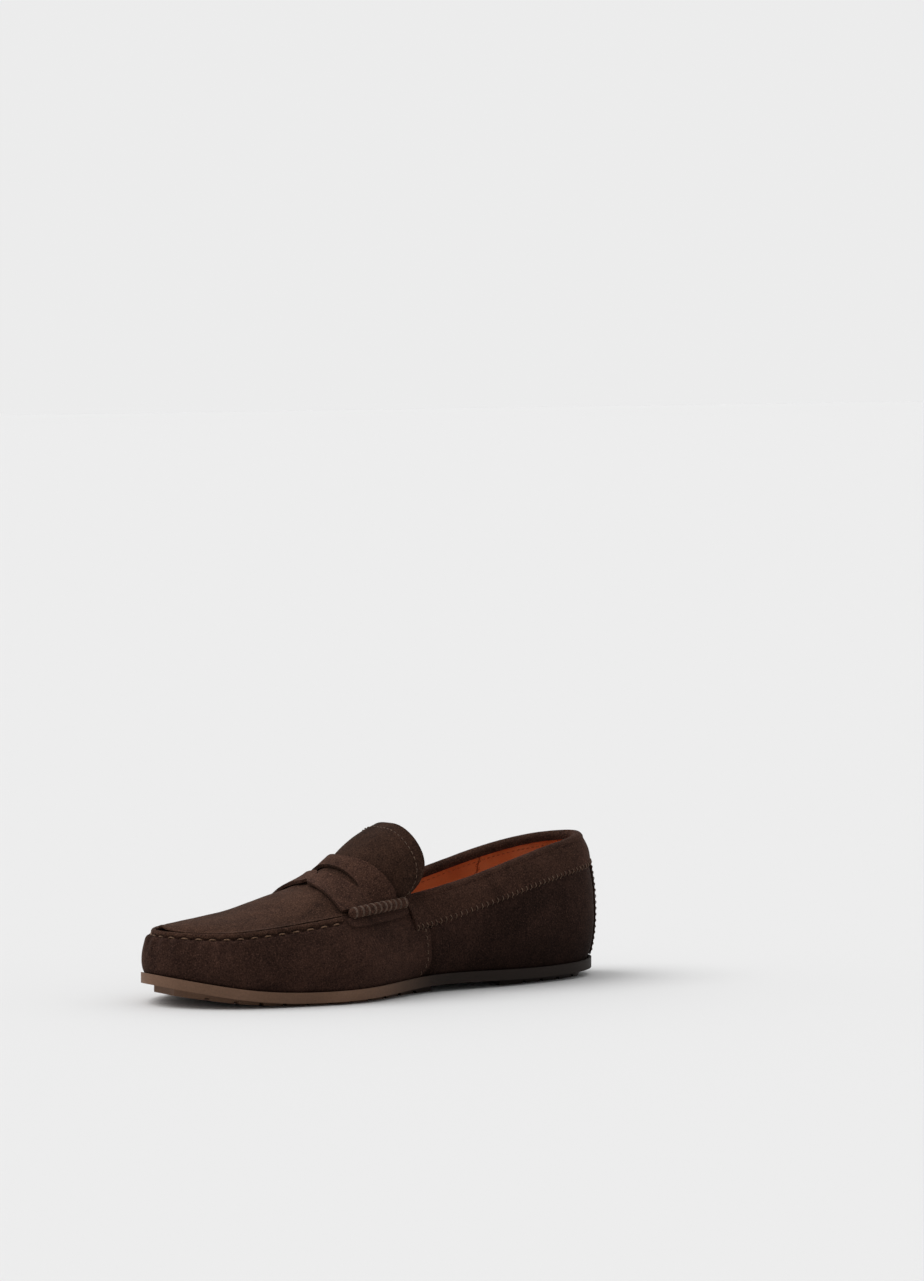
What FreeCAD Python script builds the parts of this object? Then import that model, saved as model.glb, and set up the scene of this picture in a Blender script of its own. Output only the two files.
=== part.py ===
"""Left-foot penny driving moccasin: a suede upper of sewn pieces over a leather lining, on a moulded cup sole.

Frame: +Z up from the floor, toe towards -Y, heel towards +Y, the outer (lateral) side of the foot towards +X.
The origin is on the floor, under the middle of the shoe's box. Everything below is in millimetres.

Every upper piece is a patch of one wall surface. A point of that wall has three numbers: where it is round the
sole's outline (turn, 0 at the heel, growing along the lateral side), how far up the profile it is (share), and how
deep it lies under the outer suede face (depth). Pieces that lie on each other use the same surface at other depths.
"""
import FreeCAD, Part

import math
import os

Vector = FreeCAD.Vector

doc = FreeCAD.newDocument("Moccasin")

# ------------------------------------------------------------------ driving dimensions

SIZES = [
    # plan of the sole's feather line, where the upper meets the sole
    ("shoe_length", 290.0),
    ("heel_width", 60.0),
    ("seat_width", 65.0),
    ("waist_width", 72.0),
    ("ball_width", 104.0),
    ("forefoot_width", 97.5),
    ("toe_width", 81.5),
    ("tip_width", 45.5),
    ("toe_lean", 6.0),
    # sole
    ("heel_seat_height", 10.4),
    ("arch_seat_height", 10.1),
    ("ball_seat_height", 7.7),
    ("toe_seat_height", 18.0),
    ("band_depth", 5.9),
    ("tread_spring", 8.0),
    ("tread_inset", 7.0),
    ("lip_height", 1.5),
    ("lip_width", 1.4),
    ("sole_overhang", 0.2),
    ("groove_width", 2.4),
    ("groove_depth", 1.4),
    ("groove_pitch", 13.0),
    # wall heights above the floor and how far the top edge leans in from the feather line
    ("heel_collar_height", 79.0),
    ("side_collar_height", 62.8),
    ("instep_height", 52.5),
    ("ball_wall_height", 44.8),
    ("toe_wall_height", 43.0),
    ("heel_lean", 6.0),
    ("side_lean", 6.0),
    ("instep_lean", 13.5),
    ("toe_wall_lean", 8.0),
    ("side_bulge", 2.8),
    ("toe_bulge", 2.0),
    # apron and tongue
    ("ridge_height", 1.8),
    ("toe_crown_height", 43.5),
    ("ball_crown_height", 49.0),
    ("vamp_crown_height", 65.5),
    ("tongue_height", 93.0),
    ("tongue_reach", 14.0),
    # thicknesses of the sheets
    ("upper_thickness", 1.4),
    ("strap_thickness", 1.8),
    ("collar_thickness", 1.3),
    ("backstay_thickness", 1.5),
    ("counter_thickness", 1.0),
    ("lining_thickness", 1.0),
    ("board_thickness", 1.8),
    ("cushion_thickness", 3.0),
    ("sock_thickness", 1.0),
    ("lasting_margin", 14.0),
    # trims
    ("collar_band_height", 15.0),
    ("collar_turn_in", 2.0),
    ("backstay_width", 20.0),
    ("strap_centre_width", 25.0),
    ("strap_lift", 0.8),
    ("slot_length", 56.0),
    ("slot_width", 4.0),
    ("notch_depth", 2.5),
    ("roll_diameter", 5.2),
    ("wrap_thread", 0.8),
    ("tab_height", 3.2),
    ("tab_thickness", 1.3),
    ("stitch_length", 4.0),
    ("stitch_pitch", 7.4),
    ("stitch_drop", 3.4),
    ("stitch_thread", 0.9),
    ("fine_thread", 0.5),
    ("fine_length", 2.4),
    ("fine_pitch", 3.4),
    ("whip_pitch", 3.4),
    ("ply_gap", 0.12),
]

sheet = doc.addObject("Spreadsheet::Sheet", "Sizes")
for row, (alias, value) in enumerate(SIZES, start=1):
    sheet.set(f"A{row}", alias)
    sheet.set(f"B{row}", str(value))
    sheet.setAlias(f"B{row}", alias)
doc.recompute()


def size(alias):
    """A driving dimension, read from the sheet."""
    return float(sheet.get(alias))


LENGTH = size("shoe_length")
GAP = size("ply_gap")
UPPER = size("upper_thickness")
LINING = size("lining_thickness")

# stations along the length, as shares of it from the heel
STRAP_FRONT = 0.655
STRAP_REAR = 0.51
SIDE_SEAM = 0.468
LINING_SEAM = 0.20
COUNTER_FRONT = 0.33
TOE_CORNER = 0.93
SLOT_PLACE = 0.607

# ------------------------------------------------------------------ curves


def natural_spline(knots):
    """A function through (x, y) knots, cubic between them and straight beyond them."""
    xs = [k[0] for k in knots]
    ys = [k[1] for k in knots]
    last = len(xs) - 1
    bend = [0.0] * (last + 1)
    upper = [0.0] * (last + 1)
    for i in range(1, last):
        before, after = xs[i] - xs[i - 1], xs[i + 1] - xs[i]
        slope_change = (ys[i + 1] - ys[i]) / after - (ys[i] - ys[i - 1]) / before
        pivot = 2 * (before + after) - before * upper[i - 1]
        upper[i] = after / pivot
        bend[i] = (6 * slope_change - before * bend[i - 1]) / pivot
    for i in range(last - 1, 0, -1):
        bend[i] -= upper[i] * bend[i + 1]

    def value(x):
        if x <= xs[0] or x >= xs[last]:
            i, end = (0, xs[0]) if x <= xs[0] else (last - 1, xs[last])
            step = xs[i + 1] - xs[i]
            slope = (ys[i + 1] - ys[i]) / step
            slope += (-step * bend[1] if i == 0 else step * bend[last - 1]) / 6
            return (ys[0] if i == 0 and x <= xs[0] else ys[last]) + slope * (x - end)
        i = max(j for j in range(last) if xs[j] <= x)
        step = xs[i + 1] - xs[i]
        a, b = (xs[i + 1] - x) / step, (x - xs[i]) / step
        curved = ((a**3 - a) * bend[i] + (b**3 - b) * bend[i + 1]) * step * step / 6
        return a * ys[i] + b * ys[i + 1] + curved

    return value


def smoothstep(x):
    x = min(1.0, max(0.0, x))
    return x * x * (3 - 2 * x)


def half_widths():
    """(share of length, half width, centre) stations of the feather line."""
    lean = size("toe_lean")
    return [
        (0.035, 0.32 * size("heel_width"), 0.0),
        (0.13, size("heel_width") / 2, 0.5),
        (0.30, size("seat_width") / 2, 2.5),
        (0.45, size("waist_width") / 2, 0.0),
        (0.63, size("ball_width") / 2, 0.5),
        (0.76, size("forefoot_width") / 2, -0.05 * lean),
        (0.88, size("toe_width") / 2, -0.38 * lean),
        (0.965, size("tip_width") / 2, -0.54 * lean),
    ]


def outline_curves():
    """Distance from the heel and sideways place round the feather line, as functions of turn."""
    stations = half_widths()
    points = [(0.0, 0.0)]
    points += [(share * LENGTH, centre + half) for share, half, centre in stations]
    points += [(LENGTH, -size("toe_lean"))]
    points += [(share * LENGTH, centre - half) for share, half, centre in reversed(stations)]
    count, wrap = len(points), 4
    looped = [points[i % count] for i in range(-wrap, count + wrap + 1)]
    turns = [0.0]
    for a, b in zip(looped, looped[1:]):
        turns.append(turns[-1] + math.dist(a, b))
    start, whole = turns[wrap], turns[wrap + count] - turns[wrap]
    turns = [(value - start) / whole for value in turns]
    along = natural_spline([(t, p[0]) for t, p in zip(turns, looped)])
    across = natural_spline([(t, p[1]) for t, p in zip(turns, looped)])
    return along, across


ALONG, ACROSS = outline_curves()


def outline(turn):
    """(distance from heel, sideways) on the feather line."""
    turn %= 1.0
    return ALONG(turn), ACROSS(turn)


def outward(turn):
    """Unit normal of the feather line, pointing out of the shoe."""
    step = 0.0015
    (s0, x0), (s1, x1) = outline(turn - step), outline(turn + step)
    run = math.hypot(s1 - s0, x1 - x0)
    return (x0 - x1) / run, (s1 - s0) / run


def toe_turn():
    """The turn at which the feather line reaches furthest forward."""
    low, high = 0.35, 0.65
    while high - low > 1e-6:
        a, b = low + (high - low) / 3, high - (high - low) / 3
        low, high = (a, high) if ALONG(a) < ALONG(b) else (low, b)
    return (low + high) / 2


TOE_TURN = toe_turn()

SEAT = natural_spline([
    (0.0, size("heel_seat_height")),
    (0.15, size("heel_seat_height") - 1.2),
    (0.40, size("arch_seat_height")),
    (0.68, size("ball_seat_height")),
    (0.85, size("ball_seat_height") + 0.2 * (size("toe_seat_height") - size("ball_seat_height"))),
    (1.0, size("toe_seat_height")),
])

TOP_HEIGHT = natural_spline([
    (0.0, size("heel_collar_height")),
    (0.12, size("heel_collar_height") - 4.5),
    (0.30, size("side_collar_height")),
    (0.45, size("instep_height")),
    (0.60, size("instep_height") - 3.5),
    (0.75, size("ball_wall_height")),
    (0.90, size("toe_wall_height") - 1.2),
    (1.0, size("toe_wall_height")),
])

LEAN = natural_spline([
    (0.0, size("heel_lean")),
    (0.12, size("heel_lean") + 0.5),
    (0.30, size("side_lean") - 1.0),
    (0.45, size("side_lean") + 3.0),
    (0.52, size("instep_lean") - 1.0),
    (0.62, size("instep_lean") + 0.5),
    (0.75, size("instep_lean") - 1.5),
    (0.90, size("toe_wall_lean") + 1.0),
    (1.0, size("toe_wall_lean")),
])

BULGE = natural_spline([
    (0.0, size("side_bulge")),
    (0.5, size("side_bulge")),
    (0.8, 0.8 * size("side_bulge")),
    (1.0, size("toe_bulge")),
])


def seat(s):
    """Height of the sole's upper rim at a distance from the heel."""
    return SEAT(s / LENGTH)


def floor_of_cup(s):
    """Height of the sole's face that the upper stands on."""
    return seat(s) - size("lip_height")


# ------------------------------------------------------------------ the wall of the upper

FOOT_IN = 2.2  # how far inside the feather line the wall meets the sole, clear of the lip


def wall_profile(turn, share, depth=0.0):
    """(outward, height above the cup) on the wall, depth under the outer face. share is 0 at the foot."""
    s, _ = outline(turn)
    u = min(1.0, max(0.0, s / LENGTH))
    height = TOP_HEIGHT(u) - floor_of_cup(s)
    bulge, lean = BULGE(u), LEAN(u)
    outs = [-FOOT_IN, 1.6 * bulge, 1.3 * bulge - 0.35 * lean, -lean]
    ups = [GAP, 0.3 * height, 0.75 * height, height]
    a, b = 1 - share, share
    blend = [a**3, 3 * a * a * b, 3 * a * b * b, b**3]
    slope = [-a * a, a * a - 2 * a * b, 2 * a * b - b * b, b * b]
    r, z = (sum(w * c for w, c in zip(blend, line)) for line in (outs, ups))
    dr, dz = (sum(w * c for w, c in zip(slope, line)) for line in (outs, ups))
    run = math.hypot(dr, dz)
    return r - depth * dz / run, z + depth * dr / run


def wall(turn, share, depth=0.0):
    """A point of the wall, depth under its outer face. Negative depth stands proud of it."""
    return place_out(turn, *wall_profile(turn, share, depth))


def place_out(turn, r, height):
    """A point r outside the feather line and height above the cup's floor there."""
    s, x = outline(turn)
    ns, nx = outward(turn)
    foot = s + ns * min(r, -FOOT_IN)
    return Vector(x + nx * r, s + ns * r, floor_of_cup(foot) + height)


def top_edge(turn):
    return wall(turn, 1.0)


def turn_at(share_of_length, lateral):
    """The turn at which the wall's top edge is at that share of the length, on one side."""
    low, high = (0.0, TOE_TURN) if lateral else (1.0, TOE_TURN)
    target = share_of_length * LENGTH
    for _ in range(40):
        middle = (low + high) / 2
        if top_edge(middle).y < target:
            low = middle
        else:
            high = middle
    return (low + high) / 2


def share_at_height(turn, height, depth=0.0):
    """The share of the profile at that height above the cup, on the face at that depth."""
    low, high = 0.0, 1.0
    for _ in range(30):
        middle = (low + high) / 2
        if wall_profile(turn, middle, depth)[1] < height:
            low = middle
        else:
            high = middle
    return (low + high) / 2


def share_below_top(turn, drop):
    """The share of the profile that lies that far below the top edge."""
    return share_at_height(turn, wall_profile(turn, 1.0)[1] - drop)


def steps(start, end, count):
    """count values from start to end, both included."""
    return [start + (end - start) * i / (count - 1) for i in range(count)]


def edge_dense(count):
    """Values from 0 to 1, closer together near both ends."""
    return [0.5 - 0.5 * math.cos(math.pi * i / (count - 1)) for i in range(count)]


# ------------------------------------------------------------------ solids from grids of points

# Until here y runs from the heel to the toe. finish_frame turns it round and puts the origin in place.


def to_frame(point):
    return Vector(point.x, LENGTH / 2 - point.y, point.z)


def places(points):
    """Shares of the way along a row of points, 0 at its start and 1 at its end."""
    run = [0.0]
    for a, b in zip(points, points[1:]):
        run.append(run[-1] + (b - a).Length)
    return [value / run[-1] for value in run]


def curve_through(points, at):
    curve = Part.BSplineCurve()
    curve.interpolate(Points=points, Parameters=at)
    return curve


def surface_through(grid, at_rows, at_columns):
    """A smooth surface through a grid; two grids that share a border line get the same border curve."""
    across = [curve_through([to_frame(point) for point in row], at_columns) for row in grid]
    along = [curve_through(list(column), at_rows) for column in zip(*(c.getPoles() for c in across))]
    poles = [list(line) for line in zip(*(c.getPoles() for c in along))]
    surface = Part.BSplineSurface()
    surface.buildFromPolesMultsKnots(
        poles,
        along[0].getMultiplicities(),
        across[0].getMultiplicities(),
        along[0].getKnots(),
        across[0].getKnots(),
        False,
        False,
        3,
        3,
    )
    return surface


def ruled(curves):
    """The strip of surface straight between two border curves that have the same knots."""
    one = curves[0]
    surface = Part.BSplineSurface()
    surface.buildFromPolesMultsKnots(
        [curve.getPoles() for curve in curves],
        [2, 2],
        one.getMultiplicities(),
        [0.0, 1.0],
        one.getKnots(),
        False,
        False,
        1,
        3,
    )
    return surface.toShape()


def slab(*strips):
    """A closed solid between outer and inner grids. Strips follow one another and share their border columns."""
    middle_column = [row[len(row) // 2] for row in strips[0][0]]
    at_rows = places(middle_column)
    faces = []
    borders = []
    for outer, inner in strips:
        at_columns = places(outer[len(outer) // 2])
        pair = [surface_through(grid, at_rows, at_columns) for grid in (outer, inner)]
        faces += [surface.toShape() for surface in pair]
        for end in (0.0, 1.0):
            faces.append(ruled([surface.uIso(end) for surface in pair]))
        borders.append([[surface.vIso(end) for surface in pair] for end in (0.0, 1.0)])
    faces.append(ruled(borders[0][0]))
    faces.append(ruled(borders[-1][1]))
    shell = Part.makeShell(faces)
    shell.sewShape(1e-3)
    solid = Part.Solid(shell.Shells[0])
    if solid.Volume < 0:
        solid.reverse()
    return solid


def feature(name, shape):
    """A sub-part whose shape is free-form."""
    made = doc.addObject("Part::Feature", name)
    made.Label = name
    made.Shape = shape
    return made


def wall_patch(name, turns, share_of, depth_out, depth_in, rows=11):
    """A piece that follows the wall: share_of(turn) gives its lowest and highest share."""
    grids = []
    for depth in (depth_out, depth_in):
        grid = []
        for turn in turns:
            low, high = share_of(turn)
            grid.append([wall(turn, share, depth) for share in steps(low, high, rows)])
        grids.append(grid)
    return feature(name, slab(grids))


def lasted_patch(name, turns, top_share):
    """An outer piece with its lasting margin turned in under the foot."""
    inner_edge = -FOOT_IN - size("lasting_margin")
    margins, sides = [], []
    for depth in (0.0, UPPER):
        margin, side = [], []
        for turn in turns:
            level = GAP + depth
            low = share_at_height(turn, level, depth) if depth else 0.0
            corner_r, _ = wall_profile(turn, low, depth)
            margin.append([place_out(turn, r, level) for r in steps(inner_edge, corner_r, 5)])
            side.append([wall(turn, share, depth) for share in steps(low, top_share(turn), 12)])
        for line, edge in zip(margin, side):
            line[-1] = edge[0]
        margins.append(margin)
        sides.append(side)
    return feature(name, slab(margins, sides))


# ------------------------------------------------------------------ flat layers under the foot


def spline_geometry(points, closed=False):
    curve = Part.BSplineCurve()
    curve.interpolate(points, PeriodicFlag=closed)
    return curve


def origin_plane(body, role):
    return next(f for f in body.Origin.OriginFeatures if f.Role == role)


def sketch_on(body, role, name):
    made = body.newObject("Sketcher::SketchObject", name)
    made.AttachmentSupport = (origin_plane(body, role), "")
    made.MapMode = "FlatFace"
    return made


def plan_points(inset, count=48):
    """The feather line moved in by inset, in the plan of the frame."""
    points = []
    for i in range(count):
        s, x = outline(i / count)
        ns, nx = outward(i / count)
        points.append(Vector(x - nx * inset, LENGTH / 2 - (s - ns * inset), 0))
    return points


def add_loop(sketch, points):
    for a, b in zip(points, points[1:] + points[:1]):
        sketch.addGeometry(Part.LineSegment(a, b), False)


def layer(name, low, high, inset, ends=(-0.1, 1.1)):
    """A layer between two curves along the length: padded up from the foot's plan and pocketed to its side view."""
    body = doc.addObject("PartDesign::Body", name)
    body.Label = name
    plan = sketch_on(body, "XY_Plane", name + "_plan")
    plan.addGeometry(spline_geometry(plan_points(inset), closed=True), False)
    pad = body.newObject("PartDesign::Pad", name + "_pad")
    pad.Profile = plan
    pad.Midplane = True
    pad.setExpression("Length", "2 * Sizes.heel_collar_height")
    doc.recompute()
    side = sketch_on(body, "YZ_Plane", name + "_side")
    reach = LENGTH
    add_loop(side, [Vector(a * reach, b * reach, 0) for a, b in ((-1, -1), (1, -1), (1, 1), (-1, 1))])
    stations = [LENGTH * share for share in steps(ends[0], ends[1], 25)]
    lower = [Vector(LENGTH / 2 - s, low(s), 0) for s in stations]
    upper = [Vector(LENGTH / 2 - s, high(s), 0) for s in stations]
    level = max(p.y for p in lower) - min(p.y for p in lower) < 1e-6
    side.addGeometry(Part.LineSegment(lower[0], lower[-1]) if level else spline_geometry(lower), False)
    side.addGeometry(spline_geometry(upper), False)
    side.addGeometry(Part.LineSegment(lower[0], upper[0]), False)
    side.addGeometry(Part.LineSegment(lower[-1], upper[-1]), False)
    pocket = body.newObject("PartDesign::Pocket", name + "_trim")
    pocket.Profile = side
    pocket.Type = "ThroughAll"
    pocket.Midplane = True
    doc.recompute()
    return body


def band_bottom(s):
    return seat(s) - size("band_depth")


TREAD = natural_spline([
    (-0.1, 0.0),
    (0.5, 0.0),
    (0.72, 0.0),
    (0.84, 0.15 * size("tread_spring")),
    (0.92, 0.5 * size("tread_spring")),
    (1.0, size("tread_spring")),
    (1.1, 2.0 * size("tread_spring")),
])


def tread_bottom(s):
    return max(0.0, TREAD(s / LENGTH)) if s > 0.72 * LENGTH else 0.0


def cut_grooves(body, rectangles, name):
    """Straight channels across the whole body, from rectangles in its side view."""
    sketch = sketch_on(body, "YZ_Plane", name)
    for x0, z0, x1, z1 in rectangles:
        corners = [Vector(x0, z0, 0), Vector(x1, z0, 0), Vector(x1, z1, 0), Vector(x0, z1, 0)]
        add_loop(sketch, corners)
    pocket = body.newObject("PartDesign::Pocket", name + "_cut")
    pocket.Profile = sketch
    pocket.Type = "ThroughAll"
    pocket.Midplane = True
    doc.recompute()


def tread_pad(name, ends):
    """A raised pad under the sole, cut into blocks."""
    pad = layer(name, tread_bottom, lambda s: band_bottom(s) + 1.0, size("tread_inset"), ends)
    width, depth, pitch = size("groove_width"), size("groove_depth"), size("groove_pitch")
    first, last = ends[0] * LENGTH + pitch, ends[1] * LENGTH - 0.6 * pitch
    count = int((last - first) / pitch) + 1
    across = []
    for i in range(count):
        s = first + i * pitch
        y = LENGTH / 2 - s
        across.append((y - width / 2, -1.0, y + width / 2, tread_bottom(s) + depth))
    cut_grooves(pad, across, name + "_across")
    return pad


def boolean(kind, name, base, tool):
    made = doc.addObject(kind, name)
    made.Label = name
    made.Base = base
    made.Tool = tool
    doc.recompute()
    return made


def make_outsole():
    band = layer("sole_band", band_bottom, seat, -size("sole_overhang"))
    front = tread_pad("tread_front", (0.43, 0.965))
    heel = tread_pad("tread_heel", (0.03, 0.27))
    with_front = boolean("Part::Fuse", "sole_with_front_tread", band, front)
    with_heel = boolean("Part::Fuse", "sole_with_treads", with_front, heel)
    recess_in = size("lip_width") - size("sole_overhang")
    recess = layer("cup_recess", floor_of_cup, lambda s: seat(s) + 5.0, recess_in)
    return boolean("Part::Cut", "outsole", with_heel, recess)


def make_foot_layers():
    """Filler, board, cushion and sock, each resting on the one below."""
    floor = UPPER + 3 * GAP
    made = [layer(
        "bottom_filler",
        lambda s: floor_of_cup(s) + GAP,
        lambda s: floor_of_cup(s) + UPPER,
        FOOT_IN + size("lasting_margin") + 0.5,
    )]
    against_lining = FOOT_IN + lining_depth() + LINING
    for name, thickness, inset in (
        ("insole_board", size("board_thickness"), against_lining),
        ("footbed_cushion", size("cushion_thickness"), against_lining - 0.5),
        ("sock_liner", size("sock_thickness"), against_lining - 1.4),
    ):
        low, high = floor, floor + thickness
        made.append(layer(
            name,
            lambda s, low=low: floor_of_cup(s) + low,
            lambda s, high=high: floor_of_cup(s) + high,
            inset,
        ))
        floor = high + GAP
    return made


# ------------------------------------------------------------------ upper pieces

SEAM_LATERAL = turn_at(SIDE_SEAM, True)
SEAM_MEDIAL = turn_at(SIDE_SEAM, False)
OUTLINE_RUN = sum(math.dist(outline(i / 400), outline((i + 1) / 400)) for i in range(400))
SEAM_GAP = 0.4 / OUTLINE_RUN  # half the gap between pieces that butt, in turns
SEAM_INSET = 2.4 / OUTLINE_RUN  # how far the seam's thread lies from the edge, in turns


def make_walls():
    full = lambda turn: 1.0
    under_collar = lambda turn: share_below_top(turn, 0.4)
    made = [lasted_patch("vamp", steps(SEAM_LATERAL, SEAM_MEDIAL, 61), full)]
    lateral = steps(SEAM_LATERAL - 2 * SEAM_GAP, SEAM_GAP, 31)
    medial = steps(SEAM_MEDIAL + 2 * SEAM_GAP, 1.0 - SEAM_GAP, 31)
    made.append(lasted_patch("quarter_lateral", lateral, under_collar))
    made.append(lasted_patch("quarter_medial", medial, under_collar))
    return made


def lining_depth():
    """Depth of the quarter lining's face against the counter, under the suede's outer face."""
    return UPPER + size("counter_thickness") + 3 * GAP


def make_linings():
    """The counter and the linings stand on the lasting margin and end under the collar's turned edge."""
    outer = lining_depth()

    def from_floor(drop):
        def shares(turn):
            return share_at_height(turn, UPPER + 3 * GAP, outer), share_below_top(turn, drop)
        return shares

    counter = steps(turn_at(COUNTER_FRONT, True), turn_at(COUNTER_FRONT, False) - 1.0, 41)
    made = [wall_patch("heel_counter", counter, from_floor(12.0), UPPER + 2 * GAP, outer - GAP)]
    front_l, front_m = turn_at(STRAP_FRONT, True), turn_at(STRAP_FRONT, False)
    back_l, back_m = turn_at(LINING_SEAM, True), turn_at(LINING_SEAM, False)
    short = from_floor(0.6)
    heel = steps(back_l - SEAM_GAP, back_m - 1.0 + SEAM_GAP, 31)
    made.append(wall_patch("heel_lining", heel, short, outer, outer + LINING))
    side = steps(back_l + SEAM_GAP, front_l - SEAM_GAP, 31)
    made.append(wall_patch("quarter_lining_lateral", side, short, outer, outer + LINING))
    side = steps(back_m - SEAM_GAP, front_m + SEAM_GAP, 31)
    made.append(wall_patch("quarter_lining_medial", side, short, outer, outer + LINING))
    toe = steps(front_l + SEAM_GAP, front_m - SEAM_GAP, 51)
    below = from_floor(size("ridge_height") + UPPER + LINING + 1.0)
    made.append(wall_patch("vamp_lining", toe, below, UPPER + 3 * GAP, UPPER + 3 * GAP + LINING))
    return made


def make_collar():
    """A band round the mouth: up the outside, over the top edge and down inside it."""
    thick = size("collar_thickness")
    wall_depth = lining_depth() + LINING
    reach = wall_depth / 2 + GAP
    start = turn_at(STRAP_REAR - 0.012, True)
    end = turn_at(STRAP_REAR - 0.012, False) - 1.0
    grids = []
    for proud in (GAP + thick, GAP):
        grid = []
        for turn in steps(start, end, 61):
            low = share_below_top(turn, size("collar_band_height"))
            row = [wall(turn, share, -proud) for share in steps(low, 1.0, 7)]
            outer_r, outer_z = wall_profile(turn, 1.0)
            middle_r = outer_r - wall_depth / 2
            bow = reach + proud
            for angle in (45, 90, 135, 180):
                a = math.radians(angle)
                row.append(place_out(turn, middle_r + bow * math.cos(a), outer_z + bow * math.sin(a)))
            for fall in steps(size("collar_turn_in") / 2, size("collar_turn_in"), 2):
                row.append(place_out(turn, middle_r - bow, outer_z - fall))
            grid.append(row)
        grids.append(grid)
    return feature("collar_band", slab(grids))


def make_backstay():
    half = size("backstay_width") / 2 / OUTLINE_RUN
    foot = size("lip_height") + 1.0
    shares = lambda turn: (share_at_height(turn, foot), share_below_top(turn, size("collar_band_height") + 0.5))
    thick = size("backstay_thickness")
    return wall_patch("backstay", steps(-half, half, 9), shares, -GAP - thick, -GAP)


# ------------------------------------------------------------------ apron, tongue and strap


def side_edges(s):
    """The wall's top edge at a distance from the heel: its lateral and medial points."""
    share = s / LENGTH
    return top_edge(turn_at(share, True)), top_edge(turn_at(share, False))


BASE_S = STRAP_REAR * LENGTH + 4.0
SQUARENESS = 3.0  # 2 would make the tongue's cross-section an ellipse
TONGUE_WING = 5.5  # how far the tongue's end reaches back beside its middle
TONGUE_FLARE = 0.15  # how much wider the tongue is half way up, as a share of its width
TONGUE_SHIFT = 3.0  # how far the tongue's top stands towards the lateral side
TIP_S = BASE_S - size("tongue_reach")

RIDGE = natural_spline([
    (TIP_S / LENGTH, size("tongue_height")),
    (0.53, size("tongue_height") - 8.0),
    (0.57, size("vamp_crown_height") + 9.5),
    (0.62, size("vamp_crown_height")),
    (0.66, size("vamp_crown_height") - 4.7),
    (0.70, size("vamp_crown_height") - 8.3),
    (0.80, size("ball_crown_height")),
    (0.93, size("toe_crown_height") + 1.0),
    (1.0, size("toe_crown_height") - 2.0),
])


def edge_tables():
    """Side edges at even stations from the tongue's base to near the toe, so that they are looked up once."""
    table = []
    tip = top_edge(TOE_TURN).y
    for s in steps(BASE_S - 1.0, tip - 0.3, 60):
        lateral, medial = side_edges(s)
        table.append((s, lateral, medial))
    return table


EDGES = edge_tables()
EDGE_LATERAL = natural_spline([(s, a.x) for s, a, b in EDGES])
EDGE_MEDIAL = natural_spline([(s, b.x) for s, a, b in EDGES])
EDGE_HEIGHT = natural_spline([(s, (a.z + b.z) / 2) for s, a, b in EDGES])


def uprightness(s):
    """0 where the apron lies over the toes, 1 where the tongue stands up squarely from the wall's edges."""
    return smoothstep((0.60 - s / LENGTH) / 0.10)


def side_frame(s):
    """Centre, half width and edge height of the opening between the wall's top edges."""
    held = min(max(s, BASE_S), EDGES[-1][0])
    lateral, medial = EDGE_LATERAL(held), EDGE_MEDIAL(held)
    half = (lateral - medial) / 2 - (UPPER + 2 * GAP) * uprightness(s)
    return (lateral + medial) / 2, half, EDGE_HEIGHT(held)


def over_foot(s, w):
    """A point of the apron's and tongue's outer face. w runs from -1 at the medial edge to 1 at the lateral."""
    centre, half, edge = side_frame(s)
    base = edge - size("ridge_height")
    top = max(RIDGE(s / LENGTH), base + 0.5)
    up = uprightness(s)
    w = min(1.0, max(-1.0, w))
    angle = w * math.pi / 2
    square = (abs(math.sin(angle)) ** SQUARENESS + math.cos(angle) ** SQUARENESS) ** (-1 / SQUARENESS)
    across = (1 - up) * w + up * square * math.sin(angle)
    rise = (1 - up) * (1 - abs(w) ** 2.2) + up * square * math.cos(angle)
    across *= 1 + TONGUE_FLARE * up * math.sin(math.pi * rise)
    return Vector(centre + half * across + TONGUE_SHIFT * up * rise, s, base + (top - base) * rise)


def apron_border():
    """Plan curves round the apron: lateral side, medial side, toe and tongue end."""
    inset = UPPER + GAP

    def seam(turn):
        point = wall(turn, 1.0, inset)
        return point.y, point.x

    corner_l, corner_m = turn_at(TOE_CORNER, True), turn_at(TOE_CORNER, False)
    base_l, base_m = turn_at(BASE_S / LENGTH, True), turn_at(BASE_S / LENGTH, False)
    ends = seam(base_l), seam(base_m)

    def tongue(b):
        w = 1 - 2 * b
        x = ends[0][1] + (ends[1][1] - ends[0][1]) * b
        wing = TONGUE_WING * math.sin(math.pi * w * w) ** 2
        return TIP_S + (ends[0][0] - TIP_S) * abs(w) ** 8 - wing, x

    return (
        lambda a: seam(corner_l + (base_l - corner_l) * a),
        lambda a: seam(corner_m + (base_m - corner_m) * a),
        lambda b: seam(corner_l + (corner_m - corner_l) * b),
        tongue,
    )


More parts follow.
